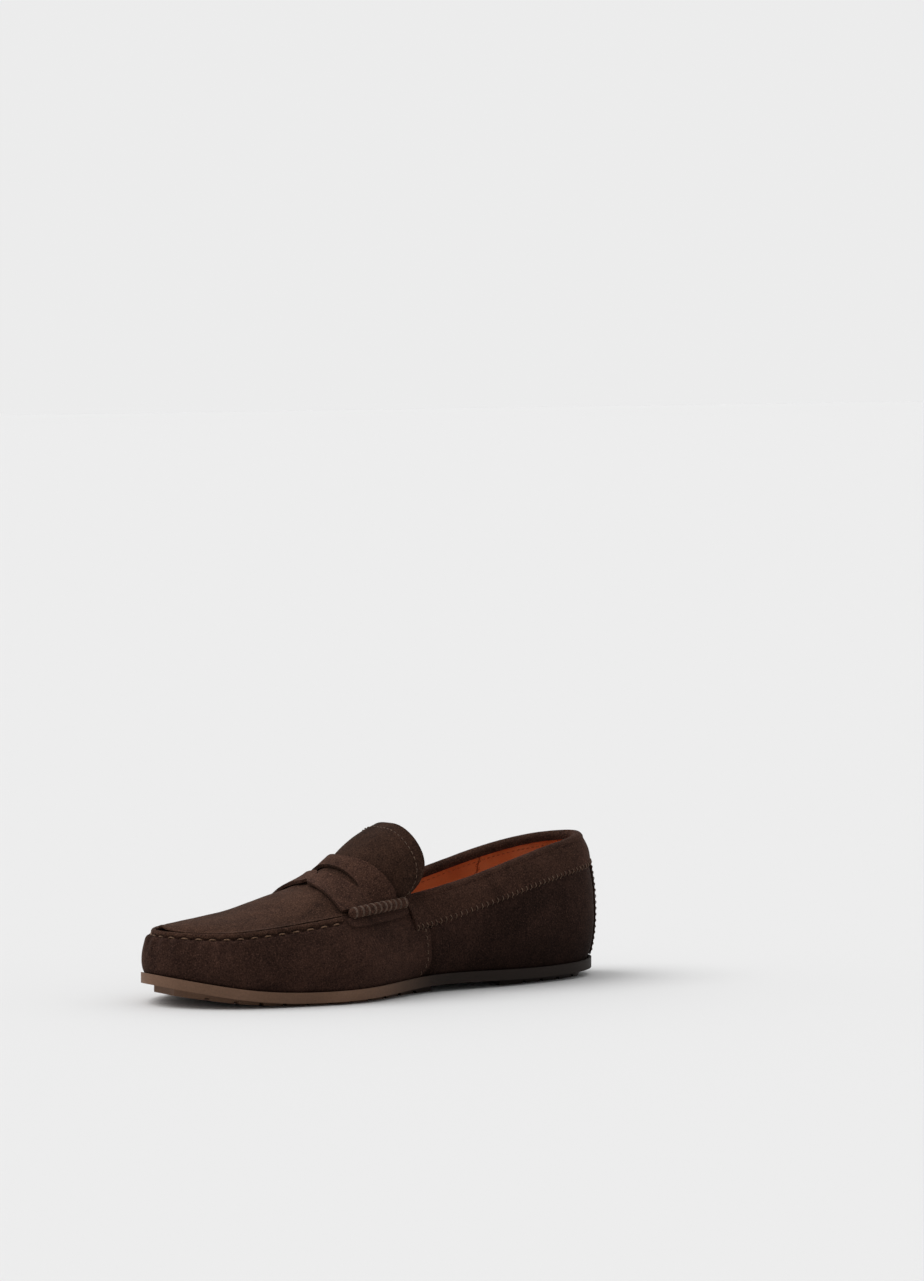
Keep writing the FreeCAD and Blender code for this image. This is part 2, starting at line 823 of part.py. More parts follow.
def apron_grid(rows, columns):
    """Points of the outer face, from the toe to the tongue's end and from the lateral side to the medial.

    Returned with each point's rim: how far the edge sewn to the wall stands up there.
    """
    lateral, medial, toe, tongue = apron_border()
    corners = toe(0.0), toe(1.0), tongue(0.0), tongue(1.0)
    grid, rims = [], []
    for a in rows:
        left, right = lateral(a), medial(a)
        line, rim_line = [], []
        for b in columns:
            front, back = toe(b), tongue(b)
            plan = []
            for k in (0, 1):
                mixed = (1 - b) * left[k] + b * right[k] + (1 - a) * front[k] + a * back[k]
                mixed -= (1 - a) * ((1 - b) * corners[0][k] + b * corners[1][k])
                mixed -= a * ((1 - b) * corners[2][k] + b * corners[3][k])
                plan.append(mixed)
            near = min(math.dist(plan, left), math.dist(plan, right), math.dist(plan, front))
            s = plan[0]
            centre, half, _ = side_frame(s)
            line.append(over_foot(s, (plan[1] - centre) / half))
            rim_line.append(size("ridge_height") * math.exp(-((near / 1.6) ** 2)) * (1 - uprightness(s)))
        grid.append(line)
        rims.append(rim_line)
    return grid, rims


def raised(grid, heights):
    return [[point + Vector(0, 0, height) for point, height in zip(*rows)] for rows in zip(grid, heights)]


def offset_grid(grid, distance):
    """The grid moved along its own normals; positive is up and out."""
    moved = []
    last_row, last_column = len(grid) - 1, len(grid[0]) - 1
    for i, row in enumerate(grid):
        line = []
        for j, point in enumerate(row):
            along = grid[min(i + 1, last_row)][j] - grid[max(i - 1, 0)][j]
            across = row[min(j + 1, last_column)] - row[max(j - 1, 0)]
            normal = across.cross(along)
            normal.normalize()
            line.append(point + normal * distance)
        moved.append(line)
    return moved


def make_apron():
    face, rims = apron_grid([value**0.8 for value in edge_dense(33)], edge_dense(29))
    apron = feature("apron", slab((raised(face, rims), raised(offset_grid(face, -UPPER), rims))))
    under = UPPER + 3 * GAP
    face, _ = apron_grid(steps(0.08, 0.985, 31), steps(0.06, 0.94, 27))
    lining = slab((offset_grid(face, -under), offset_grid(face, -under - 0.8 * LINING)))
    return [apron, feature("tongue_lining", lining)]


def strap_end(s):
    """How far round the cross-section the strap reaches: down to just above the wall's top edge."""
    _, _, edge = side_frame(s)
    low, high = 0.0, 1.0
    for _ in range(30):
        middle = (low + high) / 2
        if over_foot(s, middle).z > edge + 4 * GAP:
            low = middle
        else:
            high = middle
    return low


def strap_grid(rows=9, columns=41):
    """Lower face of the strap, from its front edge to its rear edge and from the lateral end to the medial."""
    half_centre = size("strap_centre_width") / 2
    centre_s = (STRAP_FRONT + 0.575) / 2 * LENGTH
    grid = []
    for a in steps(0.0, 1.0, rows):
        row = []
        for b in steps(0.0, 1.0, columns):
            w = 1 - 2 * b
            front = centre_s + half_centre + 2.0 * (1 - w * w) * w * w
            rear = centre_s - half_centre - (centre_s - half_centre - STRAP_REAR * LENGTH) * w * w
            s = front + (rear - front) * a
            row.append(over_foot(s, w * strap_end(s)))
        grid.append(row)
    return offset_grid(grid, size("strap_lift"))


def slot_outline():
    """The coin slot in plan: an eye whose front edge has a small point at the middle."""
    half, wide = size("slot_length") / 2, size("slot_width")
    s0 = SLOT_PLACE * LENGTH
    point = size("notch_depth")
    bow = 3.0
    rear = []
    front = []
    for w in steps(-1.0, 1.0, 9):
        arc = bow * w * w
        rear.append(Vector(half * w, LENGTH / 2 - (s0 - wide / 2 * (1 - w * w) - arc), 0))
    for w in steps(-1.0, 0.0, 5):
        bump = wide * (0.9 - 0.9 * w * w) - point * 0.4 * math.sin(math.pi * (w + 1)) ** 2
        front.append(Vector(half * w, LENGTH / 2 - (s0 - bow * w * w + bump * 0.5), 0))
    mirrored = [Vector(-p.x, p.y, 0) for p in reversed(front)]
    return rear, front, mirrored


def make_strap():
    low = strap_grid()
    blank = feature("strap_blank", slab((offset_grid(low, size("strap_thickness")), low)))
    tool = doc.addObject("PartDesign::Body", "slot_tool")
    plan = sketch_on(tool, "XY_Plane", "slot_plan")
    for points in slot_outline():
        plan.addGeometry(spline_geometry(points), False)
    pad = tool.newObject("PartDesign::Pad", "slot_pad")
    pad.Profile = plan
    pad.setExpression("Length", "1.5 * Sizes.tongue_height")
    doc.recompute()
    return boolean("Part::Cut", "saddle_strap", blank, tool)


# ------------------------------------------------------------------ rolls, tabs and thread


ROLL_DROP = 1.5  # how far below the wall's top edge the roll touches it


def roll_path(lateral):
    """Centre points of the rolled strap end, lying on the wall just under its top edge."""
    out = size("roll_diameter") / 2 + size("wrap_thread") + 6 * GAP
    points = []
    for share in steps(STRAP_REAR + 0.008, STRAP_FRONT - 0.008, 7):
        turn = turn_at(share, lateral)
        points.append(to_frame(wall(turn, share_below_top(turn, ROLL_DROP), -out)))
    return points


def make_roll(side):
    radius = size("roll_diameter") / 2
    path = spline_geometry(roll_path(side == "lateral"))
    edge = path.toShape()
    start = path.value(path.FirstParameter)
    direction = path.tangent(path.FirstParameter)[0]
    circle = Part.Wire([Part.makeCircle(radius, start, direction)])
    roll = Part.Wire([edge]).makePipeShell([circle], True, True)
    made = [feature(f"strap_roll_{side}", roll)]
    thread = size("wrap_thread") / 2
    count = 10
    turns = []
    for i in range(count):
        share = (i + 0.7) / (count + 0.4)
        at = path.FirstParameter + share * (path.LastParameter - path.FirstParameter)
        turns.append(Part.makeTorus(radius + thread + GAP / 2, thread, path.value(at), path.tangent(at)[0]))
    made.append(feature(f"roll_wraps_{side}", Part.makeCompound(turns)))
    return made


def make_tab(side):
    """The strap's end below the roll, sewn flat on the vamp. Its lower corners are rounded."""
    lateral = side == "lateral"
    start, end = turn_at(STRAP_REAR - 0.008, lateral), turn_at(STRAP_FRONT, lateral)
    top = ROLL_DROP + size("roll_diameter") / 2

    def shares(turn):
        w = abs(2 * (turn - start) / (end - start) - 1)
        reach = 0.25 + 0.75 * math.sqrt(max(0.0, 1 - w**6))
        return share_below_top(turn, top + reach * size("tab_height")), share_below_top(turn, top)

    proud = GAP + size("tab_thickness")
    turns = [start + (end - start) * value for value in edge_dense(17)]
    return wall_patch(f"strap_tab_{side}", turns, shares, -proud, -GAP, rows=5)


def stitch(start, end, radius):
    """One straight stitch of thread between two points."""
    run = to_frame(end) - to_frame(start)
    return Part.makeCylinder(radius, run.Length, to_frame(start), run)


def stitch_row(name, place, ends, pitch, length, radius):
    """Stitches along place(value) from ends[0] to ends[1]: a straight cylinder each, pitch apart."""
    line = [place(value) for value in steps(ends[0], ends[1], 160)]
    run = sum((b - a).Length for a, b in zip(line, line[1:]))
    count = max(1, int(run / pitch))
    half = 0.5 * length / run * (ends[1] - ends[0])
    shapes = []
    for i in range(count):
        middle = ends[0] + (ends[1] - ends[0]) * (i + 0.5) / count
        shapes.append(stitch(place(middle - half), place(middle + half), radius))
    return feature(name, Part.makeCompound(shapes))


def make_apron_stitches():
    """Cord stitches round the moccasin seam, lying on the outer face stitch_drop under the ridge's top."""
    radius = size("stitch_thread") / 2
    ends = turn_at(STRAP_FRONT + 0.01, True), turn_at(STRAP_FRONT + 0.01, False)
    place = lambda turn: wall(turn, share_below_top(turn, size("stitch_drop")), -radius - 3 * GAP)
    return stitch_row("apron_stitches", place, ends, size("stitch_pitch"), size("stitch_length"), radius)


def make_fine_stitches():
    """Rows of fine thread: both side seams, the backstay's two edges, the tongue's edge and the collar's seam."""
    radius = size("fine_thread") / 2
    pitch, length = size("fine_pitch"), size("fine_length")
    made = []
    for side in ("lateral", "medial"):
        lateral = side == "lateral"
        turn = turn_at(SIDE_SEAM, lateral) + (SEAM_INSET if lateral else -SEAM_INSET)
        top = share_below_top(turn, size("collar_band_height") + 1.5)
        place = lambda share, turn=turn: wall(turn, share, -radius - 3 * GAP)
        made.append(stitch_row(f"side_seam_stitches_{side}", place, (0.08, top), pitch, length, radius))

    face = GAP + size("backstay_thickness") + radius + 3 * GAP
    edge = (size("backstay_width") / 2 - 2.0) / OUTLINE_RUN
    top = share_below_top(0.0, size("collar_band_height") + 3.0)
    columns = []
    for turn in (-edge, edge):
        place = lambda share, turn=turn: wall(turn, share, -face)
        columns.append(stitch_row("backstay_row", place, (0.08, top), pitch, length, radius))
    shapes = [column.Shape for column in columns]
    for column in columns:
        doc.removeObject(column.Name)
    made.append(feature("backstay_stitches", Part.makeCompound(shapes)))

    across = [0.1 + 0.8 * i / 60 for i in range(61)]
    band, _ = apron_grid((0.93, 0.96, 0.99), across)
    run = curve_places(offset_grid(band, radius + 3 * GAP)[1])
    made.append(stitch_row("tongue_stitches", run, (0.0, 1.0), pitch, length, radius))

    face = GAP + size("collar_thickness") + radius + 3 * GAP
    ends = turn_at(STRAP_REAR - 0.03, True), turn_at(STRAP_REAR - 0.03, False) - 1.0
    count = int(abs(ends[1] - ends[0]) * OUTLINE_RUN / size("whip_pitch"))
    whips = []
    for turn in steps(ends[0], ends[1], count):
        low, high = (share_below_top(turn, size("collar_band_height") - up) for up in (0.6, 0.6 + length))
        whips.append(stitch(wall(turn, low, -face), wall(turn, high, -face), radius))
    made.append(feature("collar_stitches", Part.makeCompound(whips)))
    return made


def curve_places(points):
    """A function from 0 to 1 along a row of points."""
    at = places(points)
    coordinates = [natural_spline([(a, p[k]) for a, p in zip(at, points)]) for k in range(3)]
    return lambda value: Vector(*(coordinate(value) for coordinate in coordinates))


# ------------------------------------------------------------------ the shoe


def build():
    parts = [make_outsole()]
    parts += make_foot_layers()
    parts += make_walls()
    parts += make_linings()
    parts.append(make_collar())
    parts.append(make_backstay())
    parts += make_apron()
    parts.append(make_strap())
    for side in ("lateral", "medial"):
        parts += make_roll(side)
        parts.append(make_tab(side))
    parts.append(make_apron_stitches())
    parts += make_fine_stitches()
    return parts


def centre_in_frame(parts):
    """Places every sub-part so that the origin is on the floor under the middle of the whole box."""
    box = FreeCAD.BoundBox()
    for part in parts:
        box.add(part.Shape.optimalBoundingBox(False))
    shift = FreeCAD.Placement(Vector(-box.Center.x, -box.Center.y, -box.ZMin), FreeCAD.Rotation())
    for part in parts:
        part.Placement = shift.multiply(part.Placement)
    doc.recompute()


def check_document():
    for item in doc.Objects:
        if "Invalid" in item.State or "Error" in item.State:
            raise RuntimeError(f"{item.Label} failed: {item.State}")


def export(parts):
    os.makedirs("parts", exist_ok=True)
    for old in os.listdir("parts"):
        if old.endswith(".step"):
            os.remove(os.path.join("parts", old))
    for part in parts:
        shape = part.Shape
        if shape.isNull() or not shape.isValid() or not shape.Solids:
            raise RuntimeError(f"{part.Label} has no valid solid")
        shape.exportStep(os.path.join("parts", part.Label + ".step"))


sub_parts = build()
centre_in_frame(sub_parts)
check_document()
export(sub_parts)
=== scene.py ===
"""Looks of the left penny driving moccasin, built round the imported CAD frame.

Shapes are worked out in shoe space, in millimetres: x towards the outer side of the foot, s from the heel
towards the toe, z up from the floor. to_frame turns them into the frame's metres. A point of the upper's
wall is named by its turn round the sole's outline (0 at the heel, growing along the lateral side), its
share of the way up the wall, and its depth under the suede's outer face. Pieces that are sewn over one
another so share one surface.
"""
import math

import bmesh
import bpy
import numpy as np
from mathutils import Matrix, Vector, noise


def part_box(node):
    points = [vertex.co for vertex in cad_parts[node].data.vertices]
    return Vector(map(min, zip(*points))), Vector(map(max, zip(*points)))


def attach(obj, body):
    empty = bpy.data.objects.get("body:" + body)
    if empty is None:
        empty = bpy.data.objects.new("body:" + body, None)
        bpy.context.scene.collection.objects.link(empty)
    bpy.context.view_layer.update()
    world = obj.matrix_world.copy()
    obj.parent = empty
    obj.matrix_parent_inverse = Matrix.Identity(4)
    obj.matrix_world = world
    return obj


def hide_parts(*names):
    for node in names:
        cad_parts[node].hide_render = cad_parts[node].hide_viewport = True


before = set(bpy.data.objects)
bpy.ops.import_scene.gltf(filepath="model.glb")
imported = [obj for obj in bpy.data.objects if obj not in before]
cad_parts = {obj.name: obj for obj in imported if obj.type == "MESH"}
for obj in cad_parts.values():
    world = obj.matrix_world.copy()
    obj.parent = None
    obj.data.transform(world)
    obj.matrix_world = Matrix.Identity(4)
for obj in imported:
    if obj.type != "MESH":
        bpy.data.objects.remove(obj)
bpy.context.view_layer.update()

MM = 0.001

# ---------- sizes, in millimetres

LENGTH = 290.0
TOE_LEAN = 6.0
OUTLINE_STATIONS = [  # share of the length, half width, centre
    (0.035, 19.2, 0.0),
    (0.13, 30.0, 0.5),
    (0.30, 32.5, 2.5),
    (0.45, 36.0, 0.0),
    (0.63, 52.0, 0.5),
    (0.76, 48.75, -0.3),
    (0.88, 40.75, -2.3),
    (0.965, 22.75, -3.2),
]
LIP = 1.5
FOOT_IN = 2.2
UPPER = 1.4
COUNTER = 1.0
LINING = 1.0
PLY_GAP = 0.12
WALL_PLIES = UPPER + COUNTER + 2 * PLY_GAP + LINING
COLLAR = 1.3
COLLAR_HEIGHT = 15.0
COLLAR_TURN_IN = 2.0
BACKSTAY = 1.5
BACKSTAY_WIDTH = 20.0
STRAP = 1.8
STRAP_LIFT = 0.8
STRAP_FRONT_LIFT = 0.9
RIDGE_RISE = 1.1
SEAM_PITCH = 7.4
STITCH_DROP = 3.4
FINE_PITCH = 3.4
FINE_HALF = 1.15  # half the length of a fine stitch
FINE_RADIUS = 0.27
ROLL_RADIUS = 2.6
ROLL_DROP = 1.5
WRAP = 0.8
TAB = 1.3
TAB_HEIGHT = 3.2
WHIP_PITCH = 3.4

# Places along the shoe, as shares of its length from the heel
STRAP_FRONT = 0.655
STRAP_REAR = 0.51
SIDE_SEAM = 0.468
LINING_SEAM = 0.20
TOE_CORNER = 0.93
COLLAR_FRONT = STRAP_REAR - 0.012
SEAM_LAP = 0.004  # how far the vamp laps over a quarter, as a share of the turn round the outline

# ---------- curves


def spline(knots):
    """A function through (x, y) knots: cubic between them, straight beyond them. Takes arrays."""
    xs, ys = np.array(knots, float).T
    count = len(xs)
    matrix, right = np.eye(count), np.zeros(count)
    for i in range(1, count - 1):
        before, after = xs[i] - xs[i - 1], xs[i + 1] - xs[i]
        matrix[i, i - 1:i + 2] = before, 2 * (before + after), after
        right[i] = 6 * ((ys[i + 1] - ys[i]) / after - (ys[i] - ys[i - 1]) / before)
    bend = np.linalg.solve(matrix, right)

    def inside(x):
        i = np.clip(np.searchsorted(xs, x) - 1, 0, count - 2)
        step = xs[i + 1] - xs[i]
        a, b = (xs[i + 1] - x) / step, (x - xs[i]) / step
        curved = ((a**3 - a) * bend[i] + (b**3 - b) * bend[i + 1]) * step * step / 6
        return a * ys[i] + b * ys[i + 1] + curved

    nudge = 1e-4 * (xs[-1] - xs[0])
    slope_low = (inside(xs[0] + nudge) - ys[0]) / nudge
    slope_high = (ys[-1] - inside(xs[-1] - nudge)) / nudge

    def value(x):
        x = np.asarray(x, float)
        held = np.clip(x, xs[0], xs[-1])
        return inside(held) + np.minimum(x - xs[0], 0) * slope_low + np.maximum(x - xs[-1], 0) * slope_high

    return value


def smoothstep(x, low=0.0, high=1.0):
    x = np.clip((np.asarray(x, float) - low) / (high - low), 0, 1)
    return x * x * (3 - 2 * x)


def run_along(points):
    """The distance passed at each of a row of points."""
    return np.concatenate([[0], np.cumsum(np.linalg.norm(np.diff(points, axis=0), axis=1))])


def unit(vectors):
    return vectors / np.linalg.norm(vectors, axis=1, keepdims=True)


def outline_curves():
    points = [(0.0, 0.0)]
    points += [(share * LENGTH, centre + half) for share, half, centre in OUTLINE_STATIONS]
    points += [(LENGTH, -TOE_LEAN)]
    points += [(share * LENGTH, centre - half) for share, half, centre in reversed(OUTLINE_STATIONS)]
    count, wrap = len(points), 4
    looped = np.array([points[i % count] for i in range(-wrap, count + wrap + 1)])
    turns = run_along(looped)
    turns = (turns - turns[wrap]) / (turns[wrap + count] - turns[wrap])
    return spline(list(zip(turns, looped[:, 0]))), spline(list(zip(turns, looped[:, 1])))


ALONG, ACROSS = outline_curves()


def outline(turn):
    """(distance from the heel, sideways) on the feather line, where the upper meets the sole."""
    turn = np.mod(turn, 1.0)
    return ALONG(turn), ACROSS(turn)


def outward(turn):
    step = 0.0015
    s0, x0 = outline(np.asarray(turn) - step)
    s1, x1 = outline(np.asarray(turn) + step)
    run = np.hypot(s1 - s0, x1 - x0)
    return (x0 - x1) / run, (s1 - s0) / run


ROUND = np.linspace(0, 1, 2001)
TOE_TURN = ROUND[np.argmax(outline(ROUND)[0])]
OUTLINE_RUN = float(np.sum(np.hypot(*np.diff(outline(ROUND), axis=1))))

SEAT = spline([(0.0, 10.4), (0.15, 9.2), (0.40, 10.1), (0.68, 7.7), (0.85, 9.76), (1.0, 18.0)])
TOP_HEIGHT = spline([
    (0.0, 79.0), (0.12, 74.5), (0.30, 62.8), (0.45, 52.5),
    (0.60, 49.0), (0.75, 44.8), (0.90, 41.8), (1.0, 43.0),
])
LEAN = spline([
    (0.0, 6.0), (0.12, 6.5), (0.30, 5.0), (0.45, 9.0), (0.52, 12.5),
    (0.62, 14.0), (0.75, 12.0), (0.90, 9.0), (1.0, 8.0),
])
BULGE = spline([(0.0, 2.8), (0.5, 2.8), (0.8, 2.24), (1.0, 1.5)])
RIDGE_LINE = spline([
    (0.4755, 93.0), (0.53, 84.3), (0.57, 75.0), (0.62, 65.5), (0.66, 60.3),
    (0.70, 57.2), (0.80, 49.0), (0.93, 44.5), (1.0, 41.5),
])


def floor_of_cup(s):
    return SEAT(np.asarray(s) / LENGTH) - LIP


def stack(*parts):
    """Arrays of x, s and z, spread to one shape, as one array of points."""
    return np.stack(np.broadcast_arrays(*parts), axis=-1)


# ---------- the wall of the upper


def wall_profile(turn, share, depth=0.0):
    """(outward, height above the cup) of the wall's profile."""
    s, _ = outline(turn)
    u = np.clip(s / LENGTH, 0, 1)
    height = TOP_HEIGHT(u) - floor_of_cup(s)
    bulge, lean = BULGE(u), LEAN(u)
    outs = (-FOOT_IN, 1.6 * bulge, 1.3 * bulge - 0.35 * lean, -lean)
    ups = (PLY_GAP, 0.3 * height, 0.75 * height, height)
    b = np.asarray(share, float)
    a = 1 - b
    blend = (a**3, 3 * a * a * b, 3 * a * b * b, b**3)
    slope = (-a * a, a * a - 2 * a * b, 2 * a * b - b * b, b * b)
    r = sum(w * c for w, c in zip(blend, outs))
    z = sum(w * c for w, c in zip(blend, ups))
    dr = sum(w * c for w, c in zip(slope, outs))
    dz = sum(w * c for w, c in zip(slope, ups))
    run = np.hypot(dr, dz)
    return r - depth * dz / run, z + depth * dr / run


def place_out(turn, r, height):
    s, x = outline(turn)
    ns, nx = outward(turn)
    foot = s + ns * np.minimum(r, -FOOT_IN)
    return stack(x + nx * r, s + ns * r, floor_of_cup(foot) + height)


def wall(turn, share, depth=0.0):
    return place_out(turn, *wall_profile(turn, share, depth))


def share_at_height(turn, height, depth=0.0):
    turn, height = np.broadcast_arrays(np.asarray(turn, float), height)
    low, high = np.zeros(turn.shape), np.ones(turn.shape)
    for _ in range(26):
        middle = (low + high) / 2
        under = wall_profile(turn, middle, depth)[1] < height
        low, high = np.where(under, middle, low), np.where(under, high, middle)
    return (low + high) / 2


def share_below_top(turn, drop):
    return share_at_height(turn, wall_profile(turn, 1.0)[1] - drop)


TOP = wall(ROUND, 1.0)
LATERAL_HALF = ROUND <= TOE_TURN


def turn_at(share_of_length, lateral):
    """The turn at which the wall's top edge is at that share of the length, on one side."""
    target = np.asarray(share_of_length) * LENGTH
    if lateral:
        return np.interp(target, TOP[LATERAL_HALF, 1], ROUND[LATERAL_HALF])
    return np.interp(target, TOP[~LATERAL_HALF, 1][::-1], ROUND[~LATERAL_HALF][::-1])


def turns_at(share_of_length):
    """The lateral and the medial turn."""
    return turn_at(share_of_length, True), turn_at(share_of_length, False)


SEAM_LATERAL, SEAM_MEDIAL = turns_at(SIDE_SEAM)
APRON_START, APRON_END = turns_at(STRAP_FRONT + 0.01)
SEAM_STEPS = np.diff(wall(np.linspace(APRON_START, APRON_END, 400), 1.0), axis=0)
SEAM_RUN = float(np.sum(np.linalg.norm(SEAM_STEPS, axis=1)))
STITCH_COUNT = int(SEAM_RUN / SEAM_PITCH)
COLLAR_START, COLLAR_END = turn_at(COLLAR_FRONT, True), turn_at(COLLAR_FRONT, False) - 1.0
COLLAR_RUN = abs(COLLAR_END - COLLAR_START) * OUTLINE_RUN

# ---------- apron and tongue

BASE_S = STRAP_REAR * LENGTH + 4.0
TIP_S = BASE_S - 15.2
EDGE_S = np.linspace(BASE_S - 1.0, TOP[:, 1].max() - 0.3, 120)
EDGE_LATERAL, EDGE_MEDIAL = (wall(turns, 1.0) for turns in turns_at(EDGE_S / LENGTH))

SQUARENESS = 3.0
TONGUE_SHIFT = 3.0
TONGUE_FLARE = 0.15
TONGUE_WING = 5.5


def uprightness(s):
    """0 where the apron lies over the toes, 1 where the tongue stands up squarely from the wall's edges."""
    return smoothstep(0.60 - s / LENGTH, 0.0, 0.10)


def side_frame(s):
    """Centre, half width and edge height of the opening between the wall's top edges."""
    held = np.clip(s, BASE_S, EDGE_S[-1])
    lateral = np.interp(held, EDGE_S, EDGE_LATERAL[:, 0])
    medial = np.interp(held, EDGE_S, EDGE_MEDIAL[:, 0])
    edge = np.interp(held, EDGE_S, (EDGE_LATERAL[:, 2] + EDGE_MEDIAL[:, 2]) / 2)
    return (lateral + medial) / 2, (lateral - medial) / 2 - (UPPER + 2 * PLY_GAP) * uprightness(s), edge


def over_foot(s, w):
    """The apron's and tongue's outer face. w runs from -1 at the medial edge to 1 at the lateral."""
    centre, half, edge = side_frame(s)
    base = edge - RIDGE_RISE
    top = np.maximum(RIDGE_LINE(s / LENGTH), base + 0.5)
    up = uprightness(s)
    w = np.clip(w, -1.0, 1.0)
    angle = w * math.pi / 2
    square = (np.abs(np.sin(angle)) ** SQUARENESS + np.cos(angle) ** SQUARENESS) ** (-1 / SQUARENESS)
    across = (1 - up) * w + up * square * np.sin(angle)
    rise = (1 - up) * (1 - np.abs(w) ** 2.2) + up * square * np.cos(angle)
    across = across * (1 + TONGUE_FLARE * up * np.sin(math.pi * rise))
    return stack(centre + half * across + TONGUE_SHIFT * up * rise, s, base + (top - base) * rise)


def apron_plan(a, b):
    """Plan place (s, x): a runs from the toe to the tongue's end, b from the lateral side to the medial."""

    def seam(turn):
        inside = uprightness(wall(turn, 1.0)[..., 1])
        return wall(turn, 1.0, (UPPER + PLY_GAP) * inside + 0.5 * (1 - inside))[..., [1, 0]]

    corner_l, corner_m = turns_at(TOE_CORNER)
    base_l, base_m = turns_at(BASE_S / LENGTH)
    end_l, end_m = seam(base_l), seam(base_m)
    left = seam(corner_l + (base_l - corner_l) * a)
    right = seam(corner_m + (base_m - corner_m) * a)
    front = seam(corner_l + (corner_m - corner_l) * b)
    w = np.abs(1 - 2 * b)
    end_s = TIP_S + (end_l[0] - TIP_S) * w**8 - TONGUE_WING * np.sin(math.pi * w * w) ** 2
    back = np.stack([end_s, end_l[1] + (end_m[1] - end_l[1]) * b], axis=-1)
    a, b = a[..., None], b[..., None]
    mixed = (1 - b) * left + b * right + (1 - a) * front + a * back
    mixed = mixed - (1 - a) * ((1 - b) * seam(corner_l) + b * seam(corner_m))
    mixed = mixed - a * ((1 - b) * end_l + b * end_m)
    near = np.minimum(np.linalg.norm(mixed - left, axis=-1), np.linalg.norm(mixed - right, axis=-1))
    near = np.minimum(near, np.linalg.norm(mixed - front, axis=-1))
    return mixed, near


def apron_face(a, b):
    """Points of the apron's and tongue's outer face, and how far its rim stands up against the wall."""
    plan, near = apron_plan(a, b)
    s = plan[..., 0]
    centre, half, _ = side_frame(s)
    rise = (RIDGE_RISE - 0.2) * np.exp(-((near / 2.0) ** 2)) * (1 - uprightness(s))
    return over_foot(s, (plan[..., 1] - centre) / half), rise


# ---------- the strap


def strap_edges(b):
    """Distances of the strap's front and rear edges from the heel, at b from lateral to medial."""
    w = 1 - 2 * b
    centre, half = 0.615 * LENGTH, 12.5
    front = centre + half + 2.0 * (1 - w * w) * w * w
    front = front - 2.6 * np.exp(-((w / 0.06) ** 2))
    rear = centre - half - (centre - half - STRAP_REAR * LENGTH) * w * w
    return front, rear


def strap_end(s):
    """How far round the cross-section the strap reaches: down to just above the wall's top edge."""
    edge = side_frame(s)[2]
    low, high = np.zeros(np.shape(s)), np.ones(np.shape(s))
    for _ in range(26):
        middle = (low + high) / 2
        above = over_foot(s, middle)[..., 2] > edge + 4 * PLY_GAP
        low, high = np.where(above, middle, low), np.where(above, high, middle)
    return low


# ---------- from shoe space to the frame

SOLE_LOW, SOLE_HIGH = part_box("outsole")
ROUND_X = outline(ROUND)[1]
SHIFT = np.array([
    (SOLE_LOW.x + SOLE_HIGH.x) / 2 / MM - (ROUND_X.max() + ROUND_X.min()) / 2,
    (SOLE_LOW.y + SOLE_HIGH.y) / 2 / MM,
    SOLE_LOW.z / MM,
])


def to_frame(points):
    points = np.asarray(points, float)
    return (stack(points[..., 0], LENGTH / 2 - points[..., 1], points[..., 2]) + SHIFT) * MM


# ---------- mesh helpers


def add_object(name, data):
    made = bpy.data.objects.new(name, data)
    bpy.context.scene.collection.objects.link(made)
    return made


def smooth_shade(mesh):
    mesh.polygons.foreach_set("use_smooth", [True] * len(mesh.polygons))


def make_mesh(name, points, faces, uv):
    mesh = bpy.data.meshes.new(name)
    mesh.from_pydata(to_frame(points).tolist(), [], faces)
    mesh.validate()
    layer = mesh.uv_layers.new(name="UVMap")
    corners = np.zeros(len(mesh.loops), np.int32)
    mesh.loops.foreach_get("vertex_index", corners)
    layer.data.foreach_set("uv", np.asarray(uv, np.float32)[corners].ravel())
    smooth_shade(mesh)
    mesh.update()
    return add_object(name, mesh)


def grid_faces(rows, columns, offset=0, flip=False):
    """Quads of a grid whose points are counted row by row."""
    i, j = np.meshgrid(np.arange(rows - 1), np.arange(columns - 1), indexing="ij")
    a = (i * columns + j + offset).ravel()
    quads = np.stack([a, a + columns, a + columns + 1, a + 1], axis=1)
    return (quads[:, ::-1] if flip else quads).tolist()


def rim(rows, columns):
    """Point numbers round the border of a grid, in order."""
    front = list(range(columns))
    right = [i * columns + columns - 1 for i in range(1, rows)]
    back = [(rows - 1) * columns + j for j in range(columns - 2, -1, -1)]
    left = [i * columns for i in range(rows - 2, 0, -1)]
    return front + right + back + left


def measured_uv(grid):
    """Distances along and across a grid, in metres."""
    rows = np.linalg.norm(np.diff(grid, axis=0), axis=-1).mean(axis=1)
    columns = np.linalg.norm(np.diff(grid, axis=1), axis=-1).mean(axis=0)
    u = np.concatenate([[0], np.cumsum(rows)])
    v = np.concatenate([[0], np.cumsum(columns)])
    return np.stack(np.meshgrid(u, v, indexing="ij"), axis=-1).reshape(-1, 2) * MM


def normals_of(grid):
    along = np.gradient(grid, axis=0)
    across = np.gradient(grid, axis=1)
    normal = np.cross(along, across)
    return normal / np.maximum(np.linalg.norm(normal, axis=-1, keepdims=True), 1e-9)


def up_normals(grid):
    """Normals, pointing up and out, of a grid over the foot whose rows run towards the heel."""
    return -normals_of(grid)


def round_edges(piece, width):
    bevel = piece.modifiers.new("rounded edges", "BEVEL")
    bevel.width = width * MM
    bevel.segments = 3
    bevel.limit_method = "ANGLE"
    bevel.angle_limit = math.radians(50)


